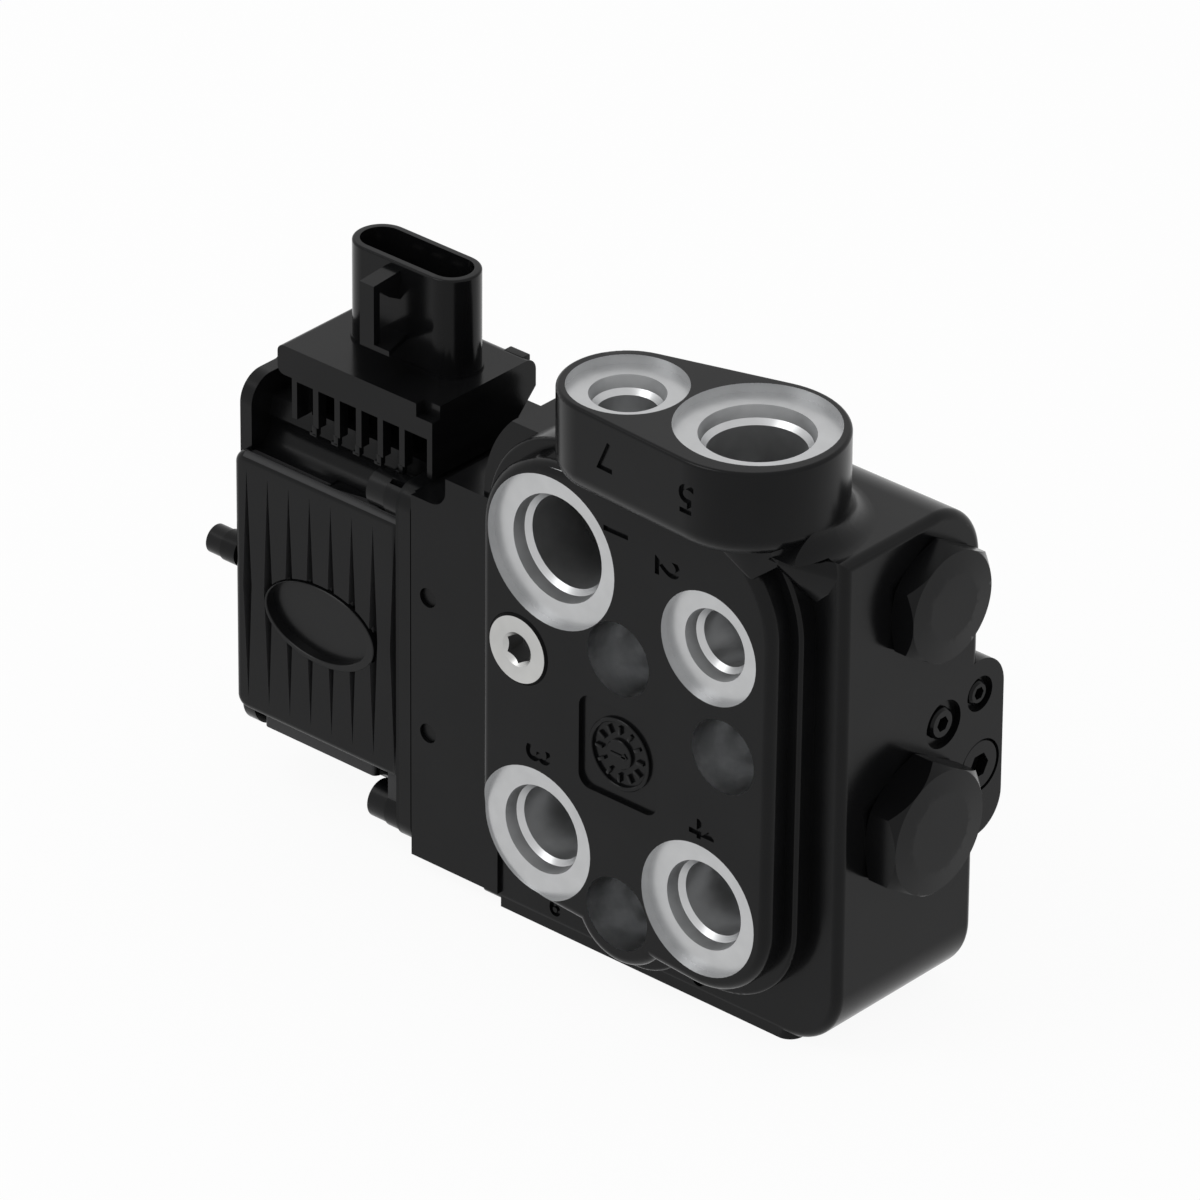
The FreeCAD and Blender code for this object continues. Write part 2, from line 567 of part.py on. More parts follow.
def block_bores():
    """Every hollow in the casting."""
    tools = [port_cutter(*port) for port in PORTS.values()]
    line = ("spool_y", "spool_z")
    tools.append(rod(("wing_left - 1",) + line, "+X", "spool_radius", "block_right - wing_left + 2"))
    tools.append(rod(("block_right - cap_spigot - seal_gap",) + line, "+X", "cap_thread + play",
                     "cap_spigot + 2"))
    upper = ("priority_y", "priority_z")
    tools.append(rod(("priority_end",) + upper, "+X", "priority_radius", "block_right - priority_end + 1"))
    tools.append(rod(("block_right - small_cap_spigot - seal_gap",) + upper, "+X", "small_cap_thread + play",
                     "small_cap_spigot + 2"))
    for letter in "abc":
        spot = ("fix_%s_x" % letter, "pad_front - 1", "fix_%s_z" % letter)
        tools.append(rod(spot, "+Y", "fix_head_radius", "fix_head_depth + 1"))
        tools.append(rod(spot, "+Y", "fix_radius", "block_rear - pad_front + 2"))
    tools.append(rod(("front_plug_x", "pad_front - 1", "front_plug_z"), "+Y", "front_plug_radius + play",
                     "front_plug_length + 1"))
    tools.append(rod(("front_plug_x", "pad_front", "front_plug_z"), "+Y", "front_cavity_radius",
                     "front_cavity_end - pad_front"))
    for name in ("relief", "gauge", "suction"):
        spot = ("block_right + 1", name + "_y", name + "_z")
        tools.append(rod(spot, "-X", name + "_plug_radius + play",
                         "1 + plug_inset + play + %s_plug_length" % name))
    for name in ("relief", "gauge"):
        tools.append(rod(("block_right + 1", name + "_y", name + "_z"), "-X", name + "_ring",
                         "plug_counter + 1"))
    for name in ("relief", "suction"):
        tools.append(rod(("block_right", name + "_y", name + "_z"), "-X", name + "_bore", name + "_depth"))
    for spot in ("expander_low_z", "expander_high_z"):
        tools.append(rod(("expander_x", "wing_front - 1", spot), "+Y", "expander_radius + play",
                         "expander_length + 1"))
    for y in ("screw_front", "screw_rear"):
        for z in ("screw_low", "screw_high"):
            tools.append(rod(("wing_left - 1", y, z), "+X", "screw_shank + play", "screw_grip + 4"))
    tools.append(rod(("wing_left - 1", "coil_rear_y", "screen_z"), "+X", "screen_radius + play",
                     "screen_length + seal_gap + 1"))
    tools.extend(galleries())
    return tools


def badge_recess():
    """Shallow recess with round corners in the pad's middle."""
    recess = box(("badge_x - badge_width / 2", "pad_front - 1", "badge_z - badge_height / 2"),
                 ("badge_x + badge_width / 2", "pad_front + badge_depth", "badge_z + badge_height / 2"))
    return rounded(recess, size("badge_round"), along("Y"))


node("valve_block", cut(casting(), badge_recess(), *block_bores()))


# Caps and plugs of the block
def hex_cap(name, flats, head, spigot, thread, line):
    """Hexagon screw cap with a hollow spigot, seated on the right face."""
    cup = thread + " - cap_wall"
    neck = thread + " - cap_neck_depth"
    half = "(%s) / 2" % flats
    body = turned(name, [("0", head), ("0", "-cap_web"), (cup, "-cap_web"), (cup, "-(%s)" % spigot),
                         (thread, "-(%s)" % spigot), (thread, "-cap_neck_length"), (neck, "-cap_neck_length"),
                         (neck, "0"), (half, "0"), (half, head + " - cap_dome"), (half + " - cap_rim", head)],
                  ("block_right",) + line, "+X")
    hex_head(body, flats, "0", head + " - cap_dome")
    hex_bevels(body, flats, head + " - cap_dome")
    return node(name, body)


SPOOL_LINE = ("spool_y", "spool_z")
PRIORITY_LINE = ("priority_y", "priority_z")
hex_cap("spool_cap", "cap_flats", "cap_head", "cap_spigot", "cap_thread", SPOOL_LINE)
hex_cap("priority_cap", "small_cap_flats", "small_cap_head", "small_cap_spigot", "small_cap_thread",
        PRIORITY_LINE)


def seal_ring(name, inner, outer, at, towards, thickness):
    """Flat-sided seal ring turned between two radii."""
    body = turned(name, [(inner, "0"), (outer, "0"), (outer, thickness), (inner, thickness)], at, towards)
    return node(name, body)


for name, thread, line in (("spool_cap_seal", "cap_thread", SPOOL_LINE),
                           ("priority_cap_seal", "small_cap_thread", PRIORITY_LINE)):
    seal_ring(name, thread + " - cap_neck_depth + play", thread,
              ("block_right - cap_neck_length + seal_gap",) + line, "+X", "cap_neck_length - 2 * seal_gap")


def socket_plug(name, length, at, towards):
    """Flush screw plug with a hexagon socket and a bevelled rim."""
    radius = name + "_radius"
    body = turned(name, [("0", "0"), (radius + " - plug_bevel", "0"), (radius, "-plug_bevel"),
                         (radius, "-(%s)" % length), ("0", "-(%s)" % length)], at, towards)
    hex_socket(body, name + "_key", "0", "(%s) / 2" % length)
    return node(name, body)


socket_plug("front_plug", "front_plug_length - front_seal_thick - 2 * play",
            ("front_plug_x", "pad_front", "front_plug_z"), "-Y")
seal_ring("front_plug_seal", "front_plug_radius - front_seal_width", "front_plug_radius",
          ("front_plug_x", "pad_front + front_plug_length - front_seal_thick - play", "front_plug_z"), "+Y",
          "front_seal_thick")
for name in ("relief", "gauge", "suction"):
    socket_plug(name + "_plug", name + "_plug_length",
                ("block_right - plug_inset", name + "_y", name + "_z"), "+X")


def expander(spot):
    """Sealing plug pressed into the wing's front."""
    return rod(("expander_x", "wing_front - expander_stand", spot), "+Y", "expander_radius",
               "expander_length")


node("expander_plugs", group(expander("expander_low_z"), expander("expander_high_z")))


# Moving pieces in the block
COIL_STEPS = 10


def spring(name, radius, wire, turns, start, end, line, towards):
    """Coil spring of square wire in short runs, filling the space between two stations on a line."""
    half = value(wire) / 2
    inset = "play + (%s) * 0.55" % wire
    length = value("(%s) - (%s) - 2 * (%s)" % (end, start, inset))
    reach = value(radius)
    count = turns * COIL_STEPS
    angles = [math.tau * step / COIL_STEPS for step in range(count + 1)]
    points = [V(reach * math.cos(angle), reach * math.sin(angle), length * step / count)
              for step, angle in enumerate(angles)]
    heading = (points[1] - points[0]).normalize()
    side = heading.cross(V(1, 0, 0)).normalize()
    outward = side.cross(heading).normalize()
    section = Part.makePolygon([points[0] + outward * half * across + side * half * up
                                for across, up in ((-1, -1), (1, -1), (1, 1), (-1, 1), (-1, -1))])
    coil = Part.makePolygon(points).makePipeShell([section], True, False, 1)
    station = value("(%s) + %s" % (start, inset))
    first, second = [value(part) for part in line]
    spot = V(station, first, second) if towards == "+X" else V(first, station, second)
    item = doc.addObject("Part::Feature", name)
    item.Shape = coil
    item.Placement = FreeCAD.Placement(spot, TURNS[towards])
    return node(name, item)


def spool_section(land, neck, half, necks):
    """Half section of a spool with necks, each given by its centre and half width."""
    points = [("0", "-(%s)" % half), (land, "-(%s)" % half)]
    for centre, reach in necks:
        points += [(land, "%s - %s" % (centre, reach)), (neck, "%s - %s" % (centre, reach)),
                   (neck, "%s + %s" % (centre, reach)), (land, "%s + %s" % (centre, reach))]
    return points + [(land, half), ("0", half)]


SPOOL_RIGHT = "(spool_mid + spool_half)"
SPOOL_LEFT = "(spool_mid - spool_half)"
SEAT_RIGHT = "(block_right - cap_web - play - seat_thick)"
SEAT_LEFT = "(wing_left + play)"
main_spool = turned("main_spool", spool_section("spool_land", "spool_neck", "spool_half", [
    ("-spool_half / 2", "neck_half"), ("r_x - spool_mid + 2 * neck_half", "neck_half"),
    ("l_x - spool_mid - 2 * neck_half", "neck_half")]), ("spool_mid",) + SPOOL_LINE, "+X")
node("main_spool", main_spool)
seal_ring("right_spring_seat", "core_radius + core_gap", "cap_thread - cap_wall - 2 * play",
          (SEAT_RIGHT,) + SPOOL_LINE, "+X", "seat_thick")
seal_ring("left_spring_seat", "core_radius + core_gap", "spool_radius - play",
          (SEAT_LEFT,) + SPOOL_LINE, "+X", "seat_thick")
spring("right_spring", "spring_radius", "spring_wire", 7, SPOOL_RIGHT, SEAT_RIGHT, SPOOL_LINE, "+X")
spring("left_spring", "spring_radius", "spring_wire", 4, SEAT_LEFT + " + seat_thick", SPOOL_LEFT,
       SPOOL_LINE, "+X")

PRIORITY_RIGHT = "(block_right - small_cap_spigot - play)"
PRIORITY_NECKS = [(side + "priority_length / 4", "priority_neck_half") for side in ("-", "")]
priority_spool = turned("priority_spool", spool_section("priority_land", "priority_neck",
                                                        "priority_length / 2", PRIORITY_NECKS),
                        (PRIORITY_RIGHT + " - priority_length / 2",) + PRIORITY_LINE, "+X")
node("priority_spool", priority_spool)
spring("priority_spring", "spring_radius", "spring_wire", 6, "priority_end",
       PRIORITY_RIGHT + " - priority_length", PRIORITY_LINE, "+X")


def poppet(name, radius, tip, nose, length, at, towards):
    """Guided poppet with a tapered nose that starts at its seat."""
    section = [("0", "0"), (tip, "0"), (radius, nose), (radius, length), ("0", length)]
    return node(name, turned(name, section, at, towards))


poppet("pilot_poppet", "front_cavity_radius - fit", "poppet_tip", "poppet_nose", "poppet_length",
       ("front_plug_x", "front_cavity_end - play", "front_plug_z"), "-Y")
spring("pilot_spring", "pilot_spring_radius", "pilot_wire", 4, "pad_front + front_plug_length",
       "front_cavity_end - play - poppet_length", ("front_plug_x", "front_plug_z"), "+Y")
RELIEF_END = "(block_right - relief_depth + play)"
poppet("relief_poppet", "relief_bore - fit", "relief_tip", "relief_nose", "relief_poppet_length",
       (RELIEF_END, "relief_y", "relief_z"), "+X")
spring("relief_spring", "relief_spring_radius", "relief_wire", 4, RELIEF_END + " + relief_poppet_length",
       "block_right - plug_inset - relief_plug_length", ("relief_y", "relief_z"), "+X")
BALL_RADIUS = "(suction_bore - fit)"
BALL_X = "(block_right - suction_depth + suction_bore + fit)"
suction_ball = doc.addObject("Part::Sphere", "suction_ball")
suction_ball.setExpression("Radius", bound(BALL_RADIUS))
place(suction_ball, (BALL_X, "suction_y", "suction_z"))
node("suction_ball", suction_ball)
spring("suction_spring", "suction_spring_radius", "suction_wire", 3, BALL_X + " + " + BALL_RADIUS,
       "block_right - plug_inset - suction_plug_length", ("suction_y", "suction_z"), "+X")
seal_ring("pilot_screen", "screen_bore", "screen_radius",
          ("wing_left + play", "coil_rear_y", "screen_z"), "+X", "screen_length")

# Actuator: plate and housing
PLATE_LEFT = "wing_left - plate_thick"
HOUSING_RIGHT = "wing_left - plate_thick - gasket_thick"
CAVITY_LEFT = "wing_left - plate_thick - gasket_thick - cavity_depth"


def screw_spots():
    """Places of the four housing screws, as pairs of expressions."""
    return [(y, z) for y in ("screw_front", "screw_rear") for z in ("screw_low", "screw_high")]


def plate_blank(left, right):
    """Plate outline with round corners and the screws' clearance holes."""
    blank = box((left, "plate_front", "plate_bottom"), (right, "plate_rear", "plate_top"))
    blank = rounded(blank, size("plate_round"), along("X"))
    holes = [rod((left + " - 1", y, z), "+X", "screw_shank + play", "plate_thick + 2")
             for y, z in screw_spots()]
    return cut(blank, *holes)


def seal_groove(radius):
    """Annular groove for a face seal in the plate's right face, on the spool line."""
    outer = rod(("wing_left - face_groove",) + SPOOL_LINE, "+X", radius + " + face_seal_half + play",
                "face_groove + 1")
    inner = rod(("wing_left - face_groove - 1",) + SPOOL_LINE, "+X", radius + " - face_seal_half - play",
                "face_groove + 3")
    return cut(outer, inner)


core_hole = rod((PLATE_LEFT + " - 1",) + SPOOL_LINE, "+X", "core_radius + core_gap", "plate_thick + 2")
node("adapter_plate", cut(plate_blank(PLATE_LEFT, "wing_left"), core_hole, seal_groove("face_seal_inner"),
                          seal_groove("face_seal_outer")))
gasket_window = box((HOUSING_RIGHT + " - 1", "cavity_front", "cavity_bottom"),
                    (PLATE_LEFT + " + 1", "cavity_rear", "cavity_top"))
node("housing_gasket", cut(plate_blank(HOUSING_RIGHT, PLATE_LEFT), gasket_window))
face_seals = []
for radius in ("face_seal_inner", "face_seal_outer"):
    low = radius + " - face_seal_half"
    high = radius + " + face_seal_half"
    section = [(low, "0"), (high, "0"), (high, "face_groove - play"), (low, "face_groove - play")]
    face_seals.append(turned("Seal", section, ("wing_left - face_groove + fit",) + SPOOL_LINE, "+X"))
node("plate_seals", group(*face_seals))


def grooves_between_fins():
    """Lens-shaped grooves, one a pitch, interrupted by a plain oval island."""
    groove = prism(lambda sketch: corner_points(sketch, [
        ("-groove_width / 2", "0"), ("0", "-groove_half"), ("groove_width / 2", "0"), ("0", "groove_half")]),
        ("groove_first", "housing_front + groove_depth", "(fins_bottom + fins_top) / 2"), "-Y",
        "groove_depth + 1")
    doc.recompute()
    copies = []
    for number in range(int(size("groove_count"))):
        copy = doc.addObject("Part::Feature", "Groove")
        copy.Shape = groove.Shape.translated(V(number * size("groove_pitch"), 0, 0))
        copies.append(copy)
    rim = doc.addObject("Part::Ellipse", "Rim")
    rim.setExpression("MajorRadius", bound("island_reach"))
    rim.setExpression("MinorRadius", bound("island_rise"))
    place(rim, ("island_x", "housing_front + groove_depth + 1", "island_z"), "-Y")
    island = doc.addObject("Part::Extrusion", "Island")
    island.Base = rim
    island.DirMode = "Normal"
    island.Solid = True
    island.setExpression("LengthFwd", bound("groove_depth + 3"))
    return cut(group(*copies), island)


def board_spots():
    """Places of the four board posts, as pairs of expressions."""
    lefts = (CAVITY_LEFT + " + board_inset", HOUSING_RIGHT + " - board_inset")
    heights = ("cavity_bottom + board_inset", "cavity_top - board_inset")
    return [(x, z) for x in lefts for z in heights]


def housing_form():
    """Outer form of the housing: finned front, cove, deep box, lip and screw ears."""
    front = box(("fins_left", "housing_front", "fins_bottom"), (HOUSING_RIGHT, "fins_back", "fins_top"))
    front = rounded(front, size("fin_corner"), along("Y", ("X", size("fins_left"))))
    front = rounded(front, size("fin_round"), in_plane("Y", size("housing_front")))
    deep = box(("housing_left", "fins_back - 1", "fins_bottom"), (HOUSING_RIGHT, "housing_rear", "fins_top"))
    tall = box(("housing_left", "housing_front + cove_depth", "housing_bottom"),
               (HOUSING_RIGHT, "housing_rear", "housing_top"))
    cove = box(("housing_left", "housing_front + cove_start", "fins_top - 1"),
               (HOUSING_RIGHT, "housing_front + cove_depth + 1", "housing_top"))
    scoop = rod(("housing_left - 1", "housing_front + cove_offset", "housing_top + cove_offset"), "+X",
                "housing_top - fins_top", HOUSING_RIGHT + " - housing_left + 2")
    lip = box(("housing_left + lip_inset", "housing_front + lip_setback", "housing_bottom"),
              (HOUSING_RIGHT + " - lip_end", "housing_rear", "fins_bottom + 1"))
    lip = rounded(lip, size("lip_round"), in_plane("Y", value("housing_front + lip_setback")))
    ears = [rod((HOUSING_RIGHT, y, z), "-X", "screw_head + ear_margin", "ear_thick")
            for y, z in screw_spots()]
    webs = [box((HOUSING_RIGHT + " - ear_thick", y + " - screw_head + 1", "screw_low"),
                (HOUSING_RIGHT, y + " + screw_head - 1", "screw_high")) for y in ("screw_front", "screw_rear")]
    return fuse(front, deep, tall, cut(cove, scoop), lip, *ears, *webs)


def ridge_cuts():
    """Groove behind the ridge over the fins, and the wider recess in it."""
    start = "housing_front + ridge_width"
    floor = "fins_top - ridge_depth"
    groove = box(("fins_left + fin_corner", start, floor),
                 (HOUSING_RIGHT + " + 1", start + " + ridge_groove", "housing_top"))
    recess = box(("recess_left", start, floor), ("recess_right", start + " + recess_reach", "housing_top"))
    return [groove, recess]


def finned_housing():
    """Housing open towards the plate, with board posts inside."""
    cavity = fuse(
        box((CAVITY_LEFT, "cavity_front", "cavity_bottom"),
            (HOUSING_RIGHT + " + 1", "cavity_rear", "cavity_top")),
        box((CAVITY_LEFT, "bay_front", "bay_bottom"),
            (HOUSING_RIGHT + " - ear_thick", "bay_rear", "bay_top")))
    seat = HOUSING_RIGHT + " - ear_thick"
    pockets = [rod((seat, y, z), "-X", "screw_head + ear_margin", seat + " - fins_left + 1")
               for y, z in screw_spots()]
    shank_holes = [rod((HOUSING_RIGHT + " + 1", y, z), "-X", "screw_shank + play", "ear_thick + 2")
                   for y, z in screw_spots()]
    posts = [rod((x, "cavity_front - 1", z), "+Y", "post_radius", "board_front - cavity_front + 1")
             for x, z in board_spots()]
    shell = cut(housing_form(), cut(cavity, *posts), grooves_between_fins(), *ridge_cuts(), *pockets,
                *shank_holes)
    threads = [rod((x, "cavity_front", z), "+Y", "board_screw_shank + play", "board_front - cavity_front + 1")
               for x, z in board_spots()]
    ends = [rod(("housing_left - 1", y, z), "+X", "end_screw_shank + play",
                "end_screw_grip + 1.5") for y, z in end_screw_spots()[1:]]
    return cut(shell, *threads, *ends)


def end_screw_spots():
    """Places of the end cover's screws: the first is the one on the front boss."""
    middle = "(end_front + end_rear) / 2"
    return [("end_front", "end_screw_z"), ("end_rear - end_screw_margin", "end_screw_z"),
            (middle, "end_bottom + end_screw_margin"), (middle, "end_top - end_screw_margin - end_screw_drop")]


node("finned_housing", finned_housing())


def cap_screw(y, z):
    """One socket-head screw through ear, gasket and plate into the block."""
    seat = HOUSING_RIGHT + " - ear_thick"
    head = rod((seat, y, z), "-X", "screw_head", "screw_head_height")
    shank = rod((seat, y, z), "+X", "screw_shank", "ear_thick + gasket_thick + plate_thick + screw_grip")
    drive = prism(lambda sketch: hexagon(sketch, "screw_key"), (seat + " - screw_head_height", y, z), "+X",
                  "screw_key_depth")
    return cut(fuse(head, shank), drive)


node("housing_screws", group(*[cap_screw(y, z) for y, z in screw_spots()]))


def end_cover():
    """Plate on the housing's far end with a boss under each screw."""
    left = "housing_left - end_thick"
    sheet_part = box((left, "end_front", "end_bottom"), ("housing_left", "end_rear", "end_top"))
    sheet_part = rounded(sheet_part, size("end_round"), along("X"))
    bosses = [rod((left + " - end_boss", y, z), "+X", "end_screw_head + ear_margin", "end_boss + 1")
              for y, z in end_screw_spots()]
    holes = [rod((left + " - end_boss - 1", y, z), "+X", "end_screw_shank + play", "end_boss + end_thick + 3")
             for y, z in end_screw_spots()[1:]]
    blind = rod((left + " - end_boss - 1", "end_front", "end_screw_z"), "+X", "end_screw_shank + play",
                "end_boss + 1")
    return cut(fuse(sheet_part, *bosses), blind, *holes)


node("end_cover", end_cover())


def end_screw(y, z, shank_length):
    """Socket-head screw on one boss of the end cover."""
    seat = "housing_left - end_thick - end_boss"
    head = rod((seat, y, z), "-X", "end_screw_head", "end_screw_height")
    shank = rod((seat, y, z), "+X", "end_screw_shank", shank_length)
    drive = prism(lambda sketch: hexagon(sketch, "end_screw_key"), (seat + " - end_screw_height", y, z), "+X",
                  "end_screw_key_depth")
    return cut(fuse(head, shank), drive)


END_SHANKS = ["end_boss - 2 * play"] + ["end_boss + end_thick + end_screw_grip"] * 3
node("end_cover_screws", group(*[end_screw(y, z, shank)
                                 for (y, z), shank in zip(end_screw_spots(), END_SHANKS)]))

# Pilot valves, sensor and board inside the housing
for number, (y, z) in enumerate([(y, z) for y in ("coil_front_y", "coil_rear_y")
                                 for z in ("coil_low_z", "coil_high_z")], start=1):
    valve = turned("solenoid_valve_%d" % number, [
        ("0", "fit"), ("coil_radius - coil_inset", "fit"), ("coil_radius - coil_inset", "coil_flange"),
        ("coil_radius", "coil_flange"), ("coil_radius", "coil_length"),
        ("coil_radius - coil_nose_inset", "coil_length"),
        ("coil_radius - coil_nose_inset", "coil_length + coil_nose"), ("0", "coil_length + coil_nose")],
        (PLATE_LEFT, y, z), "-X")
    node("solenoid_valve_%d" % number, valve)
sensor = turned("position_sensor", [
    ("core_radius + core_gap", "fit"), ("sensor_radius + sensor_flange", "fit"),
    ("sensor_radius + sensor_flange", "sensor_flange_thick"), ("sensor_radius", "sensor_flange_thick"),
    ("sensor_radius", "sensor_length"), ("0", "sensor_length"), ("0", "sensor_length - sensor_wall"),
    ("core_radius + core_gap", "sensor_length - sensor_wall")], (PLATE_LEFT,) + SPOOL_LINE, "-X")
node("position_sensor", sensor)
core = turned("sensor_core", [
    ("0", "0"), ("rod_radius", "0"), ("rod_radius", "rod_length"), ("core_radius", "rod_length"),
    ("core_radius", "rod_length + core_length"), ("0", "rod_length + core_length")],
    (SPOOL_LEFT,) + SPOOL_LINE, "-X")
node("sensor_core", core)

board = box((CAVITY_LEFT + " + board_margin", "board_front", "cavity_bottom + board_margin"),
            (HOUSING_RIGHT + " - board_margin", "board_front + board_thick", "cavity_top - board_margin"))
board_holes = [rod((x, "board_front - 1", z), "+Y", "board_screw_shank + 2 * play", "board_thick + 2")
               for x, z in board_spots()]
node("circuit_board", cut(board, *board_holes))
BOARD_BACK = "board_front + board_thick"
node("board_screws", group(*[
    fuse(rod((x, BOARD_BACK, z), "+Y", "board_screw_head", "board_screw_height"),
         rod((x, BOARD_BACK, z), "-Y", "board_screw_shank", "board_thick + board_screw_grip"))
    for x, z in board_spots()]))
chips = []
for side in ("-", "+"):
    chip_x = CAVITY_LEFT + " + chip_left"
    chip_z = "spool_z %s chip_spread" % side
    chips.append(box((chip_x, BOARD_BACK, chip_z + " - chip_side / 2"),
                     (chip_x + " + chip_side", BOARD_BACK + " + chip_height", chip_z + " + chip_side / 2")))
    chips.append(rod((CAVITY_LEFT + " + can_left", BOARD_BACK, "spool_z %s can_spread" % side), "+Y",
                     "can_radius", "can_height"))
node("board_parts", group(*chips))

# Connector cap and socket


def stadium(grow):
    """Two circles of a stadium about the socket's centre, grown by a width."""
    reach = "(socket_length - socket_depth) / 2"
    radius = "socket_depth / 2 + %s" % grow
    return [("socket_x - " + reach, "socket_y", radius), ("socket_x + " + reach, "socket_y", radius)]


def stadium_prism(grow, low, high):
    """Upright stadium between two heights."""
    return prism(lambda sketch: belt(sketch, stadium(grow)), ("0", "0", low), "+Z", "%s - (%s)" % (high, low))


def blade_spots():
    """Places of the four blades along the socket."""
    return ["socket_x + blade_pitch * %s" % step for step in ("-1.5", "-0.5", "0.5", "1.5")]


def blades(low, high, grow):
    """Four flat blades between two heights, grown for their slots."""
    return [box((x + " - blade_width / 2 - " + grow, "socket_y - blade_thick / 2 - " + grow, low),
                (x + " + blade_width / 2 + " + grow, "socket_y + blade_thick / 2 + " + grow, high))
            for x in blade_spots()]


def connector_hood():
    """Plate on a narrower hollow body, open below, with a comb of windows in its front."""
    under = "hood_top - hood_plate"
    plate = box(("hood_left", "hood_front", under), ("hood_right", "hood_rear", "hood_top"))
    plate = rounded(plate, size("hood_round"), along("X", ("Y", size("hood_rear")), ("Z", size("hood_top"))))
    plate = rounded(plate, size("hood_corner"), along("Y", ("X", size("hood_left"))))
    body = box(("hood_left + hood_inset", "hood_front", "hood_bottom"), ("hood_right", "hood_rear", under))
    scoop = profile([("hood_rear", under), ("hood_rear + 1", under), ("hood_rear + 1", "hood_bottom - 1"),
                     ("hood_rear - hood_scoop", "hood_bottom - 1"),
                     ("hood_rear - hood_bend", under + " - hood_bend")], "hood_left", "hood_right + 1")
    inside = box(("hood_left + hood_inset + hood_wall", "hood_front + hood_wall", "hood_bottom - 1"),
                 ("hood_right - hood_wall", "hood_rear - hood_scoop - hood_wall", "hood_top - hood_roof"))
    windows = []
    count = int(size("window_count"))
    for number in range(count):
        left = "window_first + window_pitch * %d" % number
        width = "last_window" if number == count - 1 else "window_width"
        windows.append(box((left, "hood_front - 1", "hood_bottom - 1"),
                           (left + " + " + width, "hood_front + hood_wall + 1", "window_high")))
    corner_cut = box(("hood_right - corner_cut_width", "hood_front - 1", "hood_top - corner_cut_height"),
                     ("hood_right + 1", "hood_front + corner_cut_depth", "hood_top + 1"))
    slots = blades("hood_top - hood_roof - 1", "hood_top + 1", "blade_gap")
    return cut(fuse(plate, cut(body, scoop)), inside, corner_cut, *windows, *slots)


node("connector_hood", connector_hood())


def connector_socket():
    """Stadium socket with a thin bead at its foot, round an open well."""
    shell = stadium_prism("0", "hood_top", "socket_top")
    shell = rounded(shell, size("socket_round"), in_plane("Z", size("socket_top")))
    bead = stadium_prism("socket_bead", "hood_top", "hood_top + bead_height")
    well = stadium_prism("0 - socket_wall", "socket_floor", "socket_top + 1")
    return cut(fuse(shell, bead), well, *blades("hood_top - 1", "socket_floor + 1", "play"))


node("connector_socket", connector_socket())
node("terminals", group(*blades("hood_top - hood_roof - blade_tail", "blade_top", "0")))

LATCH_FACE = "socket_y - socket_depth / 2"


def connector_latch():
    """Bracket on the socket's front: an upright bar carried by an arm with a tooth and by a shelf."""
    front = LATCH_FACE + " - latch_reach"
    inner = front + " + latch_bar"
    right = "latch_left + latch_width"
    loop = profile([(LATCH_FACE, "latch_high"), (front, "latch_high - latch_slope"), (front, "latch_low"),
                    (LATCH_FACE, "latch_low"), (LATCH_FACE, "latch_low + latch_web"),
                    (inner, "latch_low + latch_web"), (inner, "latch_high - latch_slope - latch_bar"),
                    (LATCH_FACE + " - latch_tooth_reach", "latch_high - latch_tooth"),
                    (LATCH_FACE, "latch_high - latch_gusset")], "latch_left", right)
    outline = [(right, front), ("latch_left + latch_shelf", front),
               ("latch_left + latch_shelf - shelf_taper", LATCH_FACE), (right, LATCH_FACE)]
    shelf = prism(lambda sketch: corner_points(sketch, outline), ("0", "0", "latch_low"), "+Z", "latch_web")
    return fuse(loop, shelf)


node("connector_latch", connector_latch())


def write_parts():
    """Check every object and write each named piece to its own file."""
    doc.recompute()
    for item in doc.Objects:
        if "Invalid" in item.State or "Error" in item.State:
            raise RuntimeError("%s (%s) did not build: %s" % (item.Label, item.Name, item.State))
    os.makedirs("parts", exist_ok=True)
    for name, item in NODES.items():
        shape = item.Shape
        if shape.isNull() or not shape.isValid():
            raise RuntimeError(name + " has no valid shape")
        shape.exportStep(os.path.join("parts", name + ".step"))
        print("%-20s %d solids, volume %.1f" % (name, len(shape.Solids), shape.Volume))


write_parts()
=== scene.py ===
"""Visual model of an electro-hydraulic steering valve block with its actuator.

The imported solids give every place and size. Each sub-assembly below is a class
that dresses its solids, replaces some of them with smoother pieces and adds the
detail that the solids leave out. Metres, +Z up, ports at -Y, actuator at -X.
"""

import json
import logging
import math
from dataclasses import dataclass, field
from enum import Enum
from typing import Any, Optional, Sequence, Union

import bmesh
import bpy
from mathutils import Matrix, Vector

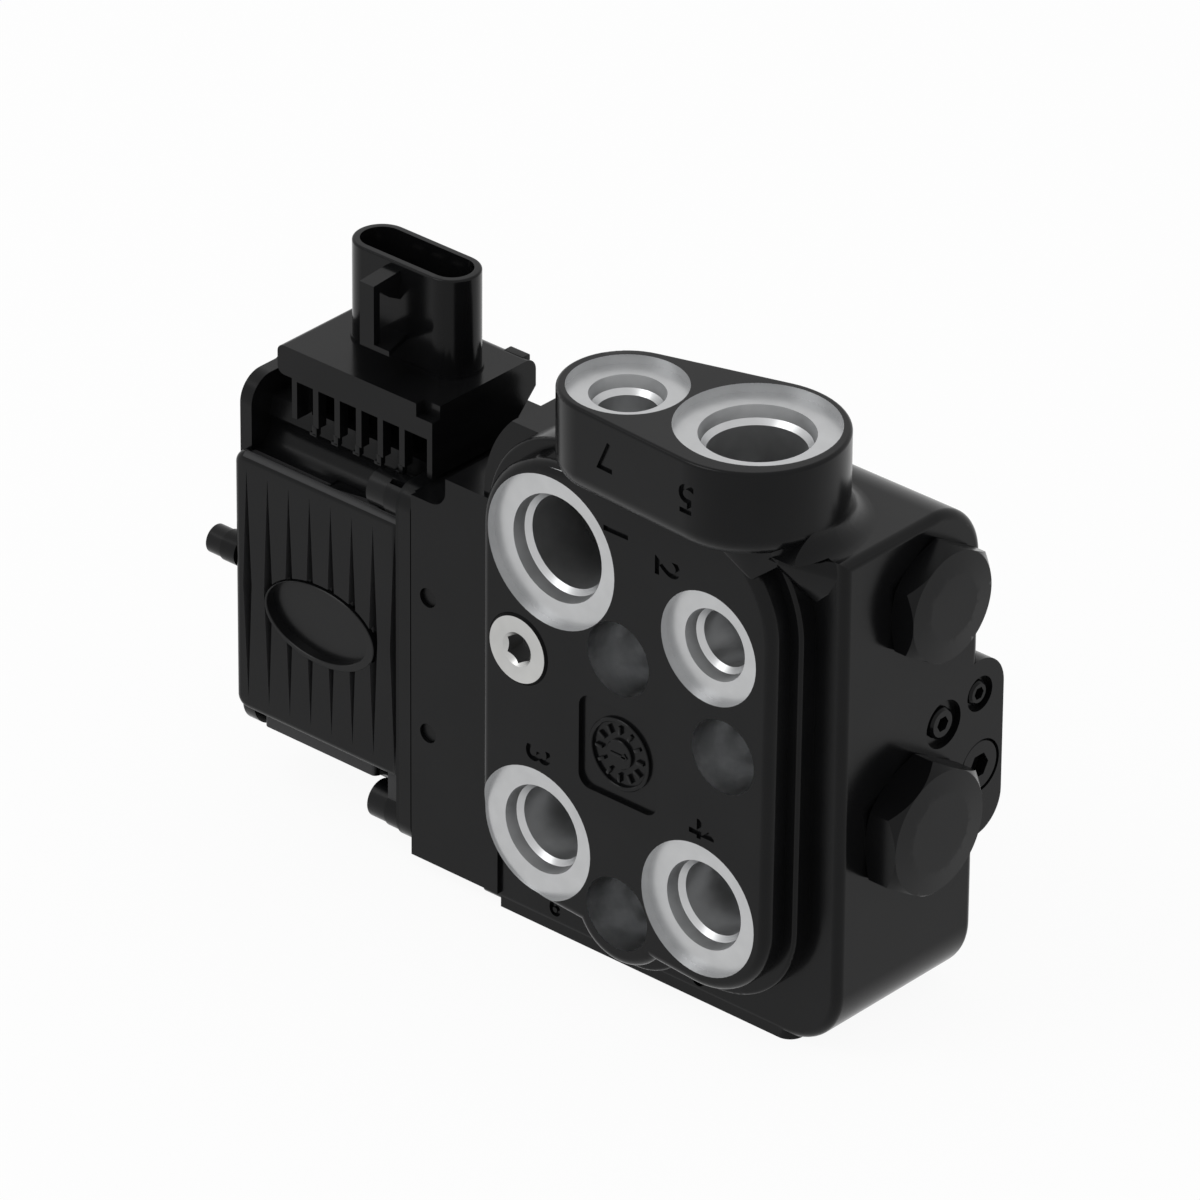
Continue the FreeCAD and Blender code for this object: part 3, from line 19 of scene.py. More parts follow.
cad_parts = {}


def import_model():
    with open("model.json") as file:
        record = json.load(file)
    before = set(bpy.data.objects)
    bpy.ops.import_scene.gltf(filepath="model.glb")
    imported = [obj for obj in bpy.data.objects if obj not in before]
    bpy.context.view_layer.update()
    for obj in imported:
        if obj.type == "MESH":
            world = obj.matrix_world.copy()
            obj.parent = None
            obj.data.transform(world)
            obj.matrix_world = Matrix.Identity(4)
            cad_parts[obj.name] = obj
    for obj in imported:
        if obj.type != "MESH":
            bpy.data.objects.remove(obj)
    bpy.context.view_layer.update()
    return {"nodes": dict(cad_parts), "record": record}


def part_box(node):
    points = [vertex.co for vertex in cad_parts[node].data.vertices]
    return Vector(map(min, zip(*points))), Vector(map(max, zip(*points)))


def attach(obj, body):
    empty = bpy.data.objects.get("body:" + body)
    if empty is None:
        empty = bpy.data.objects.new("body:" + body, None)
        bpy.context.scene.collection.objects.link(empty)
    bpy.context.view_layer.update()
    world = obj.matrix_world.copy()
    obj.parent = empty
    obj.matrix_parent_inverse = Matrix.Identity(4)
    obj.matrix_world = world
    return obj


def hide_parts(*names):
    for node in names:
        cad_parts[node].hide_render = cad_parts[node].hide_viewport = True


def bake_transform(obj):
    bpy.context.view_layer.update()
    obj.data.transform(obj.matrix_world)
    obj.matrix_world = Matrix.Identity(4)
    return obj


LOG = logging.getLogger("steering_valve")
MM = 0.001
MERGE_PACKED = 0.000002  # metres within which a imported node's vertices are one
MERGE_MADE = 0.000001  # the same for a shape made here
BEND = 20.0  # degrees above which an edge gets a bevel
LEVEL = 2.0  # degrees below which two facets are one
WHITE = (1.0, 1.0, 1.0, 1.0)
Colour = tuple[float, float, float]
Number = Union[float, "Tap"]


class Axis(Enum):
    """Direction that a turned or extruded piece points in."""

    MINUS_Y = (0.0, -1.0, 0.0)
    PLUS_Z = (0.0, 0.0, 1.0)

    def turn(self) -> Matrix:
        """Rotation that carries +Z onto this direction, with the local X axis kept level."""
        return Vector((0.0, 0.0, 1.0)).rotation_difference(Vector(self.value)).to_matrix().to_4x4()


# Shader building
class Tap:
    """An output socket that can be used in arithmetic."""

    def __init__(self, tree: "NodeTree", socket: bpy.types.NodeSocket) -> None:
        """Keep the socket and the tree that it belongs to."""
        self.tree = tree
        self.socket = socket

    def _math(self, operation: str, *values: Number, clamp: bool = False) -> "Tap":
        """Add one Math node.

        Args:
            operation: the node's operation.
            values: its inputs, sockets or numbers.
            clamp: whether the result is held between 0 and 1.

        Returns:
            The node's output.
        """
        settings = {"operation": operation, "use_clamp": clamp}
        return self.tree.node("ShaderNodeMath", settings, dict(enumerate(values)))

    def __add__(self, other: Number) -> "Tap":
        """Sum."""
        return self._math("ADD", self, other)

    def __radd__(self, other: Number) -> "Tap":
        """Sum with the number on the left."""
        return self._math("ADD", other, self)

    def __mul__(self, other: Number) -> "Tap":
        """Product."""
        return self._math("MULTIPLY", self, other)

    def __rmul__(self, other: Number) -> "Tap":
        """Product with the number on the left."""
        return self._math("MULTIPLY", other, self)

    def sine(self) -> "Tap":
        """Sine of an angle in radians."""
        return self._math("SINE", self)

    def larger(self, other: Number) -> "Tap":
        """The larger of two."""
        return self._math("MAXIMUM", self, other)

    def above(self, edge: float, width: float) -> "Tap":
        """Soft step that goes from 0 to 1 around an edge.

        Args:
            edge: where the step is half way.
            width: how wide the step is.

        Returns:
            The step, held between 0 and 1.
        """
        scaled = self * (1.0 / width)
        return scaled._math("ADD", scaled, 0.5 - edge / width, clamp=True)


class NodeTree:
    """A node tree that is filled through one method."""

    def __init__(self, tree: bpy.types.NodeTree) -> None:
        """Empty the tree and keep it."""
        self.tree = tree
        self.tree.nodes.clear()

    def node(self, kind: str, settings: dict[str, Any], inputs: dict[Any, Any],
             output: Union[int, str] = 0) -> Tap:
        """Add any node.

        Args:
            kind: the node's type.
            settings: properties, set before the inputs.
            inputs: values or taps for its sockets, by name or number.
            output: which output is wanted; a node without outputs gives its first input.

        Returns:
            That output.
        """
        item = self.tree.nodes.new(kind)
        for key, setting in settings.items():
            setattr(item, key, setting)
        self.fill(item, inputs)
        return Tap(self, item.outputs[output] if item.outputs else item.inputs[0])

    def fill(self, item: bpy.types.Node, inputs: dict[Any, Any]) -> None:
        """Set or link a node's sockets.

        Args:
            item: the node.
            inputs: values or taps, by the sockets' names or numbers.
        """
        for key, given in inputs.items():
            socket = item.inputs[key]
            if isinstance(given, Tap):
                self.tree.links.new(given.socket, socket)
            else:
                socket.default_value = given

    def seen_or_mirrored(self) -> Tap:
        """1 for what the camera sees directly, in a mirror or through glass."""
        camera, mirror, glass = (self.node("ShaderNodeLightPath", {}, {}, name)
                                 for name in ("Is Camera Ray", "Is Glossy Ray", "Is Transmission Ray"))
        return camera.larger(mirror).larger(glass)


class Shader(NodeTree):
    """One material's node tree, with its Principled shader."""

    def __init__(self, name: str) -> None:
        """Start a material.

        Args:
            name: the material's name.
        """
        self.material = bpy.data.materials.new(name)
        self.material.use_nodes = True
        super().__init__(self.material.node_tree)
        self.surface = self.node("ShaderNodeBsdfPrincipled", {}, {}, "BSDF")

    def feed(self, **sockets: Any) -> None:
        """Set or link the Principled shader's sockets, named with underscores for spaces."""
        inputs = {name.replace("_", " ").title().replace("Ior", "IOR"): given
                  for name, given in sockets.items()}
        self.fill(self.surface.socket.node, inputs)

    def done(self) -> bpy.types.Material:
        """Join the surface to the output and hand the material over."""
        self.node("ShaderNodeOutputMaterial", {}, {"Surface": self.surface})
        return self.material

    def place(self) -> Tap:
        """Object coordinates."""
        return self.node("ShaderNodeTexCoord", {}, {}, "Object")

    def noise(self, scale: float, detail: float = 2.0, roughness: float = 0.5,
              stretch: tuple[float, float, float] = (1.0, 1.0, 1.0)) -> Tap:
        """Noise on object coordinates.

        Args:
            scale: features a metre.
            detail: octaves.
            roughness: weight of the fine octaves.
            stretch: factor on each axis.

        Returns:
            The noise, near 0.5.
        """
        spot = self.node("ShaderNodeMapping", {}, {"Vector": self.place(), "Scale": stretch})
        return self.node("ShaderNodeTexNoise", {}, {
            "Vector": spot, "Scale": scale, "Detail": detail, "Roughness": roughness}, 0)

    def radius_from(self, centre: Sequence[float], axis: Axis) -> Tap:
        """Distance from a line through a point.

        Args:
            centre: a point on the line.
            axis: the line's direction.

        Returns:
            The distance in metres.
        """
        mask = tuple(0.0 if abs(part) > 0.5 else 1.0 for part in axis.value)
        offset = tuple(-part * keep for part, keep in zip(centre, mask))
        flat = self.node("ShaderNodeMapping", {}, {
            "Vector": self.place(), "Location": offset, "Scale": mask})
        return self.node("ShaderNodeVectorMath", {"operation": "LENGTH"}, {0: flat}, "Value")

    def height_along(self, axis: Axis) -> Tap:
        """Distance travelled along an axis."""
        return self.node("ShaderNodeVectorMath", {"operation": "DOT_PRODUCT"},
                         {0: self.place(), 1: axis.value}, "Value")

    def blend(self, factor: Number, low: Colour, high: Colour) -> Tap:
        """Mix two colours.

        Args:
            factor: share of the second.
            low: colour at 0.
            high: colour at 1.

        Returns:
            The mixed colour.
        """
        return self.node("ShaderNodeMix", {"data_type": "RGBA"}, {
            0: factor, 6: (*low, 1.0), 7: (*high, 1.0)}, 2)

    def relief(self, height: Tap, depth: float) -> Tap:
        """Bump from a height.

        Args:
            height: the height, in units of depth.
            depth: metres for one unit.

        Returns:
            The normal.
        """
        return self.node("ShaderNodeBump", {}, {"Height": height, "Strength": 1.0, "Distance": depth})


# Finishes
@dataclass(frozen=True)
class GlossBlack:
    """Smooth black coat that mirrors its surroundings faintly, over a slightly uneven ground."""

    name: str
    deep: Colour = (0.0032, 0.0033, 0.0036)
    pale: Colour = (0.0052, 0.0053, 0.0056)
    gloss: float = 0.14
    roughness: float = 0.16
    grain: float = 700.0
    depth: float = 0.000006
    waves: float = 55.0

    def make(self) -> bpy.types.Material:
        """Build the material."""
        shader = Shader(self.name)
        grain = shader.noise(self.grain, 3.0, 0.55)
        drift = shader.noise(self.waves, 2.0)
        shader.feed(
            base_color=shader.blend(drift.above(0.5, 0.5), self.deep, self.pale),
            roughness=self.roughness + drift * 0.05 + grain * 0.05,
            normal=shader.relief(grain * 0.7 + drift * 0.3, self.depth),
            specular_ior_level=self.gloss)
        return shader.done()


@dataclass(frozen=True)
class TurnedMetal:
    """Bright metal left by a turning tool: fine rings about an axis or along it."""

    name: str
    centre: tuple[float, float, float]
    axis: Axis
    tone: Colour = (0.53, 0.535, 0.54)
    dull: Colour = (0.47, 0.475, 0.48)
    pitch: float = 0.00025
    depth: float = 0.000002
    roughness: float = 0.3
    metal: float = 1.0
    lengthwise: bool = False

    def make(self) -> bpy.types.Material:
        """Build the material."""
        shader = Shader(self.name)
        if self.lengthwise:
            spread = shader.height_along(self.axis)
        else:
            spread = shader.radius_from(self.centre, self.axis)
        wave = (spread * (2.0 * math.pi / self.pitch)).sine()
        drift = shader.noise(260.0, 2.0)
        shader.feed(
            base_color=shader.blend(drift.above(0.52, 0.6), self.dull, self.tone),
            metallic=self.metal,
            roughness=self.roughness + drift * 0.08 + wave * 0.02,
            normal=shader.relief(wave * 0.5 + drift * 0.3, self.depth))
        return shader.done()


@dataclass(frozen=True)
class DrawnMetal:
    """Metal with a fine drawn or plated grain."""

    name: str
    tone: Colour
    metal: float = 1.0
    roughness: float = 0.3
    grain: float = 1500.0
    depth: float = 0.000003

    def make(self) -> bpy.types.Material:
        """Build the material."""
        shader = Shader(self.name)
        grain = shader.noise(self.grain, 2.0, 0.6)
        drift = shader.noise(120.0, 2.0)
        dark = tuple(part * 0.82 for part in self.tone)
        shader.feed(
            base_color=shader.blend(drift.above(0.5, 0.6), dark, self.tone),
            metallic=self.metal,
            roughness=self.roughness + grain * 0.1,
            normal=shader.relief(grain, self.depth))
        return shader.done()


@dataclass(frozen=True)
class Moulding:
    """Moulded skin of an inner piece: a fine even texture and a soft sheen."""

    name: str
    tone: Colour
    roughness: float = 0.45
    grain: float = 1400.0
    depth: float = 0.00002

    def make(self) -> bpy.types.Material:
        """Build the material."""
        shader = Shader(self.name)
        speckle = shader.noise(self.grain, 2.0, 0.5)
        flow = shader.noise(60.0, 2.0, 0.5, (1.0, 1.0, 0.3))
        pale = tuple(part * 1.3 for part in self.tone)
        shader.feed(
            base_color=shader.blend(flow.above(0.5, 0.5), self.tone, pale),
            roughness=self.roughness + flow * 0.1,
            normal=shader.relief(speckle, self.depth))
        return shader.done()


HOUSING_BLACK = GlossBlack("housing_black", roughness=0.2, depth=0.000012)
HOOD_BLACK = GlossBlack("hood_black", roughness=0.13, grain=900.0, depth=0.000004)


@dataclass(frozen=True)
class Stretch:
    """How a spring follows a joint: the body at its moving end, and both ends in metres."""

    child: str
    held: tuple[float, float, float]
    moved: tuple[float, float, float]


# Mesh building
class Workshop:
    """Makes and smooths pieces and puts them on their bodies."""

    def __init__(self, nodes: dict[str, bpy.types.Object]) -> None:
        """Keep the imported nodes.

        Args:
            nodes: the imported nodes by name.
        """
        self.nodes = nodes
        self.scene = bpy.context.scene

    def copy_of(self, node: str) -> bmesh.types.BMesh:
        """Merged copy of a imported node's mesh.

        Args:
            node: the node's name.

        Returns:
            The copy, to be freed by the caller.
        """
        mesh = bmesh.new()
        mesh.from_mesh(self.nodes[node].data)
        bmesh.ops.remove_doubles(mesh, verts=mesh.verts, dist=MERGE_PACKED)
        return mesh

    def piece(self, name: str, mesh: bmesh.types.BMesh, finishes: Sequence[bpy.types.Material],
              body: str, slot: str, replaces: Sequence[str] = (), sharp: float = 30.0,
              stretch: Optional[Stretch] = None) -> bpy.types.Object:
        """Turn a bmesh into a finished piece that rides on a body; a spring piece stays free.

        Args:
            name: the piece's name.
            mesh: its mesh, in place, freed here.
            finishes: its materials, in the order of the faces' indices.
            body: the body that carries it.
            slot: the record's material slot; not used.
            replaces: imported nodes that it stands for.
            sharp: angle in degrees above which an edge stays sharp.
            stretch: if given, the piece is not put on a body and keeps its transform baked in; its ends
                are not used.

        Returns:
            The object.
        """
        for face in mesh.faces:
            face.smooth = True
        for edge in mesh.edges:
            edge.smooth = len(edge.link_faces) == 2 and edge.calc_face_angle(0.0) < math.radians(sharp)
        data = bpy.data.meshes.new(name)
        mesh.to_mesh(data)
        mesh.free()
        item = bpy.data.objects.new(name, data)
        self.scene.collection.objects.link(item)
        for finish in finishes:
            data.materials.append(finish)
        if stretch:
            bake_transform(item)
        else:
            modifier = item.modifiers.new("Even shading", "WEIGHTED_NORMAL")
            modifier.keep_sharp = True
            modifier.weight = 50
            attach(item, body)
        if replaces:
            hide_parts(*replaces)
        return item

    def glyph(self, mark: "Mark", sunk: float) -> bmesh.types.BMesh:
        """Solid of a digit that stands across a surface.

        Args:
            mark: the digit and its place.
            sunk: how deep it goes, in millimetres.

        Returns:
            The solid.
        """
        curve = bpy.data.curves.new("Digit", "FONT")
        curve.body = mark.digit
        curve.size = mark.height * MM
        curve.extrude = sunk * MM
        curve.align_x = "CENTER"
        curve.align_y = "CENTER"
        curve.resolution_u = 4
        curve.offset = 0.00014
        item = bpy.data.objects.new("Digit", curve)
        self.scene.collection.objects.link(item)
        bpy.context.view_layer.update()
        data = bpy.data.meshes.new_from_object(item)
        mesh = bmesh.new()
        mesh.from_mesh(data)
        bpy.data.objects.remove(item)
        bpy.data.curves.remove(curve)
        bpy.data.meshes.remove(data)
        bmesh.ops.remove_doubles(mesh, verts=mesh.verts, dist=MERGE_MADE)
        bmesh.ops.recalc_face_normals(mesh, faces=mesh.faces)
        reads, top = Vector(mark.reads), Vector(mark.top)
        turn = Matrix((reads, top, reads.cross(top))).transposed().to_4x4()
        place = Matrix.Translation(Vector(mark.centre) * MM) @ turn
        bmesh.ops.transform(mesh, matrix=place, verts=mesh.verts)
        return mesh

    def cut_away(self, body: bmesh.types.BMesh,
                 cutters: Sequence[bmesh.types.BMesh]) -> bmesh.types.BMesh:
        """Cut solids away from a body.

        Args:
            body: the body's mesh, freed here.
            cutters: the solids, freed here.

        Returns:
            The body's new mesh.
        """
        made = []
        for mesh in (body, self.joined(cutters)):
            data = bpy.data.meshes.new("Cutting")
            mesh.to_mesh(data)
            mesh.free()
            item = bpy.data.objects.new("Cutting", data)
            self.scene.collection.objects.link(item)
            made.append(item)
        modifier = made[0].modifiers.new("Cut", "BOOLEAN")
        modifier.operation = "DIFFERENCE"
        modifier.solver = "EXACT"
        modifier.use_self = True
        modifier.object = made[1]
        depsgraph = bpy.context.evaluated_depsgraph_get()
        data = bpy.data.meshes.new_from_object(made[0].evaluated_get(depsgraph))
        result = bmesh.new()
        result.from_mesh(data)
        bpy.data.meshes.remove(data)
        for item in made:
            data = item.data
            bpy.data.objects.remove(item)
            bpy.data.meshes.remove(data)
        return result

    @staticmethod
    def joined(meshes: Sequence[bmesh.types.BMesh]) -> bmesh.types.BMesh:
        """Put several meshes into the first one.

        Args:
            meshes: the meshes; all but the first are freed.

        Returns:
            The first mesh.
        """
        first = meshes[0]
        for other in meshes[1:]:
            data = bpy.data.meshes.new("Joining")
            other.to_mesh(data)
            other.free()
            first.from_mesh(data)
            bpy.data.meshes.remove(data)
        return first

    @staticmethod
    def hull(points: Sequence[Sequence[float]]) -> bmesh.types.BMesh:
        """Solid stretched round points given in millimetres, with its level facets merged."""
        mesh = bmesh.new()
        for point in points:
            mesh.verts.new(Vector(point) * MM)
        bmesh.ops.convex_hull(mesh, input=mesh.verts)
        loose = [vert for vert in mesh.verts if not vert.link_faces]
        bmesh.ops.delete(mesh, geom=loose, context="VERTS")
        bmesh.ops.dissolve_limit(mesh, angle_limit=math.radians(LEVEL), verts=mesh.verts,
                                 edges=mesh.edges)
        bmesh.ops.recalc_face_normals(mesh, faces=mesh.faces)
        return mesh

    @staticmethod
    def ovals(rings: Sequence[tuple[float, float, float, float, float]]) -> bmesh.types.BMesh:
        """Solid stretched over a row of upright ovals.

        Args:
            rings: for each oval its centre, half width and half height in millimetres.

        Returns:
            The solid, capped at both ends.
        """
        places = [Matrix.Translation(Vector((x, y, z)) * MM) @ Axis.MINUS_Y.turn()
                  @ Matrix.Diagonal((reach * MM, rise * MM, MM, 1.0)) for x, y, z, reach, rise in rings]
        mesh = bmesh.new()
        bmesh.ops.create_circle(mesh, cap_ends=True, radius=1.0, segments=96, matrix=places[0])
        edges = list(mesh.edges)
        for before, after in zip(places, places[1:]):
            grown = bmesh.ops.extrude_edge_only(mesh, edges=edges)["geom"]
            verts = [item for item in grown if isinstance(item, bmesh.types.BMVert)]
            edges = [item for item in grown if isinstance(item, bmesh.types.BMEdge) and item.is_boundary]
            bmesh.ops.transform(mesh, matrix=after @ before.inverted(), verts=verts)
        bmesh.ops.edgeloop_fill(mesh, edges=edges)
        bmesh.ops.recalc_face_normals(mesh, faces=mesh.faces)
        return mesh

    @staticmethod
    def bevelled(mesh: bmesh.types.BMesh, width: float, segments: int) -> None:
        """Round every edge that bends clearly.

        Args:
            mesh: the mesh.
            width: the bevels' width in millimetres.
            segments: steps across each bevel.
        """
        edges = [edge for edge in mesh.edges
                 if len(edge.link_faces) == 2 and edge.calc_face_angle(0.0) > math.radians(BEND)]
        bmesh.ops.bevel(mesh, geom=edges, offset=width * MM, affect="EDGES", segments=segments,
                        profile=0.5, material=-1, clamp_overlap=True)

    @staticmethod
    def bar(mesh: bmesh.types.BMesh, place: Matrix, size: Sequence[float], bevel: float) -> None:
        """Add a bevelled bar.

        Args:
            mesh: the mesh that it goes into.
            place: its middle and turn, in metres.
            size: its sides in millimetres.
            bevel: width of its bevels in millimetres.
        """
        shape = place @ Matrix.Diagonal((*(side * MM for side in size), 1.0))
        made = bmesh.ops.create_cube(mesh, size=1.0, matrix=shape)
        edges = list({edge for vert in made["verts"] for edge in vert.link_edges})
        bmesh.ops.bevel(mesh, geom=edges, offset=bevel * MM, affect="EDGES", segments=2, profile=0.5,
                        material=-1)

    @staticmethod
    def lathe(profile: Sequence[tuple[float, float]], centre: Sequence[float], axis: Axis,
              segments: int = 96) -> bmesh.types.BMesh:
        """Turn a closed profile about an axis.

        Args:
            profile: pairs of radius and height in millimetres.
            centre: where height 0 lies on the axis, in metres.
            axis: the axis' direction.
            segments: steps round the axis.

        Returns:
            The turned mesh, with normals outwards.
        """
        mesh = bmesh.new()
        points = [mesh.verts.new((radius * MM, 0.0, height * MM)) for radius, height in profile]
        pairs = list(zip(points, points[1:])) + [(points[-1], points[0])]
        edges = [mesh.edges.new(pair) for pair in pairs if (pair[0].co - pair[1].co).length > 1e-9]
        bmesh.ops.spin(mesh, geom=points + edges, cent=(0, 0, 0), axis=(0, 0, 1), dvec=(0, 0, 0),
                       angle=2 * math.pi, steps=segments, use_merge=True)
        bmesh.ops.remove_doubles(mesh, verts=mesh.verts, dist=MERGE_MADE)
        bmesh.ops.recalc_face_normals(mesh, faces=mesh.faces)
        place = Matrix.Translation(Vector(centre)) @ axis.turn()
        bmesh.ops.transform(mesh, matrix=place, verts=mesh.verts)
        return mesh


# Sub-assemblies
class PortSize(Enum):
    """Radii of the spotface and the seal seat, and the bore's depth, in millimetres."""

    LARGE = (17.0, 11.9, 26.0)
    MEDIUM = (15.0, 9.9, 23.0)
    SMALL = (12.5, 7.9, 20.0)


@dataclass(frozen=True)
class Hollow:
    """A machined hollow of the casting."""

    name: str
    mouth: tuple[float, float, float]
    axis: Axis
    radius: float
    seat: float
    depth: float


@dataclass(frozen=True)
class Mark:
    """A sunk digit: its centre on the surface, the way it reads and the way its top points."""

    digit: str
    centre: tuple[float, float, float]
    reads: tuple[float, float, float]
    top: tuple[float, float, float]
    height: float = 9.2


@dataclass
class Casting:
    """The black casting with its machined hollows and sunk digits."""

    shop: Workshop
    sunk: float = 0.7
    front: float = -22.5
    marks: tuple[Mark, ...] = (
        Mark("1", (-0.5, -22.5, 107.4), (0.0, 0.0, -1.0), (1.0, 0.0, 0.0)),
        Mark("2", (13.2, -22.5, 104.2), (0.0, 0.0, -1.0), (1.0, 0.0, 0.0)),
        Mark("3", (-20.9, -22.5, 47.9), (0.0, 0.0, -1.0), (1.0, 0.0, 0.0)),
        Mark("4", (23.0, -22.5, 47.9), (0.0, 0.0, -1.0), (1.0, 0.0, 0.0)),
        Mark("5", (24.2, -29.5, 127.4), (-0.998, 0.061, 0.0), (0.0, 0.0, -1.0)),
        Mark("7", (1.9, -28.15, 128.0), (-0.998, 0.061, 0.0), (0.0, 0.0, -1.0)),
        Mark("6", (-24.6, -12.6, 6.0), (1.0, 0.0, 0.0), (0.0, 0.0, 1.0), 6.6),
        Mark("8", (14.5, -12.6, 5.4), (1.0, 0.0, 0.0), (0.0, 0.0, 1.0), 6.6),
    )
    ports: tuple[tuple[str, PortSize, tuple[float, float, float], Axis], ...] = (
        ("port_p", PortSize.LARGE, (-17.4, -22.5, 96.3), Axis.MINUS_Y),
        ("port_ls", PortSize.SMALL, (24.6, -22.5, 90.3), Axis.MINUS_Y),
        ("port_r", PortSize.MEDIUM, (-21.3, -22.5, 29.3), Axis.MINUS_Y),
        ("port_l", PortSize.MEDIUM, (22.6, -22.5, 29.2), Axis.MINUS_Y),
        ("port_ef", PortSize.LARGE, (24.7, -8.6, 135.5), Axis.PLUS_Z),
        ("port_dr", PortSize.SMALL, (-5.1, -13.6, 135.5), Axis.PLUS_Z),
    )
    fixings: tuple[tuple[float, float], ...] = ((0.8, 78.7), (28.8, 67.1), (1.1, 19.3))
    fixing_radius: float = 8.2
    fixing_hole: float = 5.25
    fixing_depth: float = 20.0
    fixing_reach: float = 60.0
    slack: float = 0.06
    web_bevel: float = 0.8
    web_steps: int = 4
    bore_tone: Colour = (0.56, 0.565, 0.57)
    bore_dull: Colour = (0.47, 0.475, 0.48)
    drill_tone: Colour = (0.66, 0.665, 0.67)
    drill_dull: Colour = (0.5, 0.505, 0.51)
    seam: tuple[float, float, float] = (-63.95, -13.5, 46.4)
    seam_size: tuple[float, float, float] = (0.56, 3.0, 90.0)
    flare_cut: tuple[tuple[float, float, float], ...] = (
        (44.4, -30.0, 103.0), (52.5, -30.0, 103.0), (52.5, -30.0, 115.4), (38.6, -30.0, 115.4),
        (38.9, -30.0, 113.2), (44.4, -12.62, 103.0), (52.5, -12.62, 103.0), (52.5, -12.62, 115.4),
        (38.6, -12.62, 115.4), (38.9, -12.62, 113.2))
    flare: tuple[tuple[float, float, float], ...] = (
        (43.9, -12.4, 103.6), (41.0, -16.6, 109.6), (39.4, -17.3, 112.2), (38.0, -19.6, 114.3),
        (49.3, -12.4, 114.9), (49.9, -12.4, 111.6), (47.5, -12.4, 107.0), (36.0, -17.2, 113.6),
        (35.0, -10.0, 104.0), (43.0, -10.0, 103.8), (49.9, -9.0, 112.0), (49.3, -8.0, 115.0),
        (36.0, -10.0, 115.1), (44.6, -8.0, 115.1), (41.0, -17.4, 115.1))
    skirt: tuple[tuple[float, float, float], ...] = (
        (38.0, -19.6, 114.4), (40.8, -18.6, 115.0), (42.6, -15.0, 115.0), (42.6, -12.0, 115.0),
        (36.0, -12.0, 115.0), (36.0, -12.0, 121.0), (40.6, -12.0, 120.0))
    skirt_across: tuple[float, ...] = (34.0, 36.0, 38.0, 39.4, 40.6)
    chin: tuple[tuple[float, float, float], ...] = (
        (35.4, -22.2, 109.4), (32.3, -22.3, 112.6), (28.4, -22.3, 115.2), (24.0, -22.3, 116.9),
        (39.4, -17.4, 112.6), (38.2, -19.4, 114.2), (36.0, -17.4, 116.2), (24.0, -12.0, 121.8))
    chin_across: tuple[float, ...] = (24.3, 27.0, 30.0, 33.0, 35.4, 37.4, 39.2, 40.6)
    boss: tuple[float, float, float, float] = (24.7, -8.6, 19.9, 122.5)

    def on_boss(self, across: Sequence[float]) -> list[tuple[float, float, float]]:
        """Points just inside the boss' front wall, above its rounded foot.

        Args:
            across: their places on the X axis in millimetres.

        Returns:
            The points.
        """
        x, y, radius, height = self.boss
        return [(place, y - math.sqrt(radius ** 2 - (place - x) ** 2), height) for place in across]

    def hollows(self) -> list[Hollow]:
        """Every machined hollow."""
        found = [Hollow(name, mouth, axis, *size.value)
                 for name, size, mouth, axis in self.ports]
        for number, (x, z) in enumerate(self.fixings, start=1):
            found.append(Hollow("fixing_%d" % number, (x, self.front, z), Axis.MINUS_Y,
                                self.fixing_radius, 0.0, self.fixing_reach))
        return found

    def finishes(self, hollows: Sequence[Hollow]) -> list[bpy.types.Material]:
        """Paint first, then a face and a bore finish for each hollow."""
        found = [GlossBlack("block_paint", depth=0.00001).make()]
        for hollow in hollows:
            centre = tuple(part * MM for part in hollow.mouth)
            found.append(TurnedMetal(hollow.name + "_face", centre, hollow.axis).make())
            if hollow.seat == 0.0:
                tone, dull, roughness, metal = self.drill_tone, self.drill_dull, 0.24, 1.0
            else:
                tone, dull, roughness, metal = self.bore_tone, self.bore_dull, 0.34, 0.92
            found.append(TurnedMetal(hollow.name + "_bore", centre, hollow.axis, tone, dull,
                                     roughness=roughness, metal=metal, lengthwise=True).make())
        return found

    def dress(self, mesh: bmesh.types.BMesh, hollows: Sequence[Hollow]) -> None:
        """Give each face inside a hollow the hollow's own finish.

        Args:
            mesh: the casting's mesh in metres.
            hollows: its hollows.
        """
        for index, hollow in enumerate(hollows):
            mouth = Vector(hollow.mouth) * MM
            axis = Vector(hollow.axis.value)
            for face in mesh.faces:
                offset = face.calc_center_median() - mouth
                height = offset.dot(axis)
                radius = (offset - axis * height).length / MM
                height /= MM
                limit = hollow.radius if height > -self.fixing_depth - self.slack else self.fixing_hole
                if height > -self.slack or height < -hollow.depth or radius > limit + self.slack:
                    continue
                flat = abs(face.normal.dot(axis)) > 0.3
                outer = 0.0 < hollow.seat < radius - self.slack
                face.material_index = 1 + 2 * index + (0 if flat or outer else 1)

    def build(self) -> None:
        """Make the casting."""
        hollows = self.hollows()
        cutters = [self.shop.glyph(mark, self.sunk) for mark in self.marks]
        cutters.append(self.shop.hull(self.flare_cut))
        seam = bmesh.new()
        self.shop.bar(seam, Matrix.Translation(Vector(self.seam) * MM), self.seam_size, 0.02)
        cutters.append(seam)
        mesh = self.shop.cut_away(self.shop.copy_of("valve_block"), cutters)
        self.dress(mesh, hollows)
        finishes = self.finishes(hollows)
        self.shop.piece("casting", mesh, finishes, "block", "block_paint", ["valve_block"], sharp=28.0)
        for name, points, across in (("boss_flare", self.flare, ()),
                                     ("boss_skirt", self.skirt, self.skirt_across),
                                     ("boss_chin", self.chin, self.chin_across)):
            web = self.shop.hull([*points, *self.on_boss(across)])
            self.shop.bevelled(web, self.web_bevel, self.web_steps)
            self.shop.piece(name, web, finishes[:1], "block", "block_paint", sharp=40.0)
        LOG.info("casting: %d hollows, %d digits", len(hollows), len(self.marks))


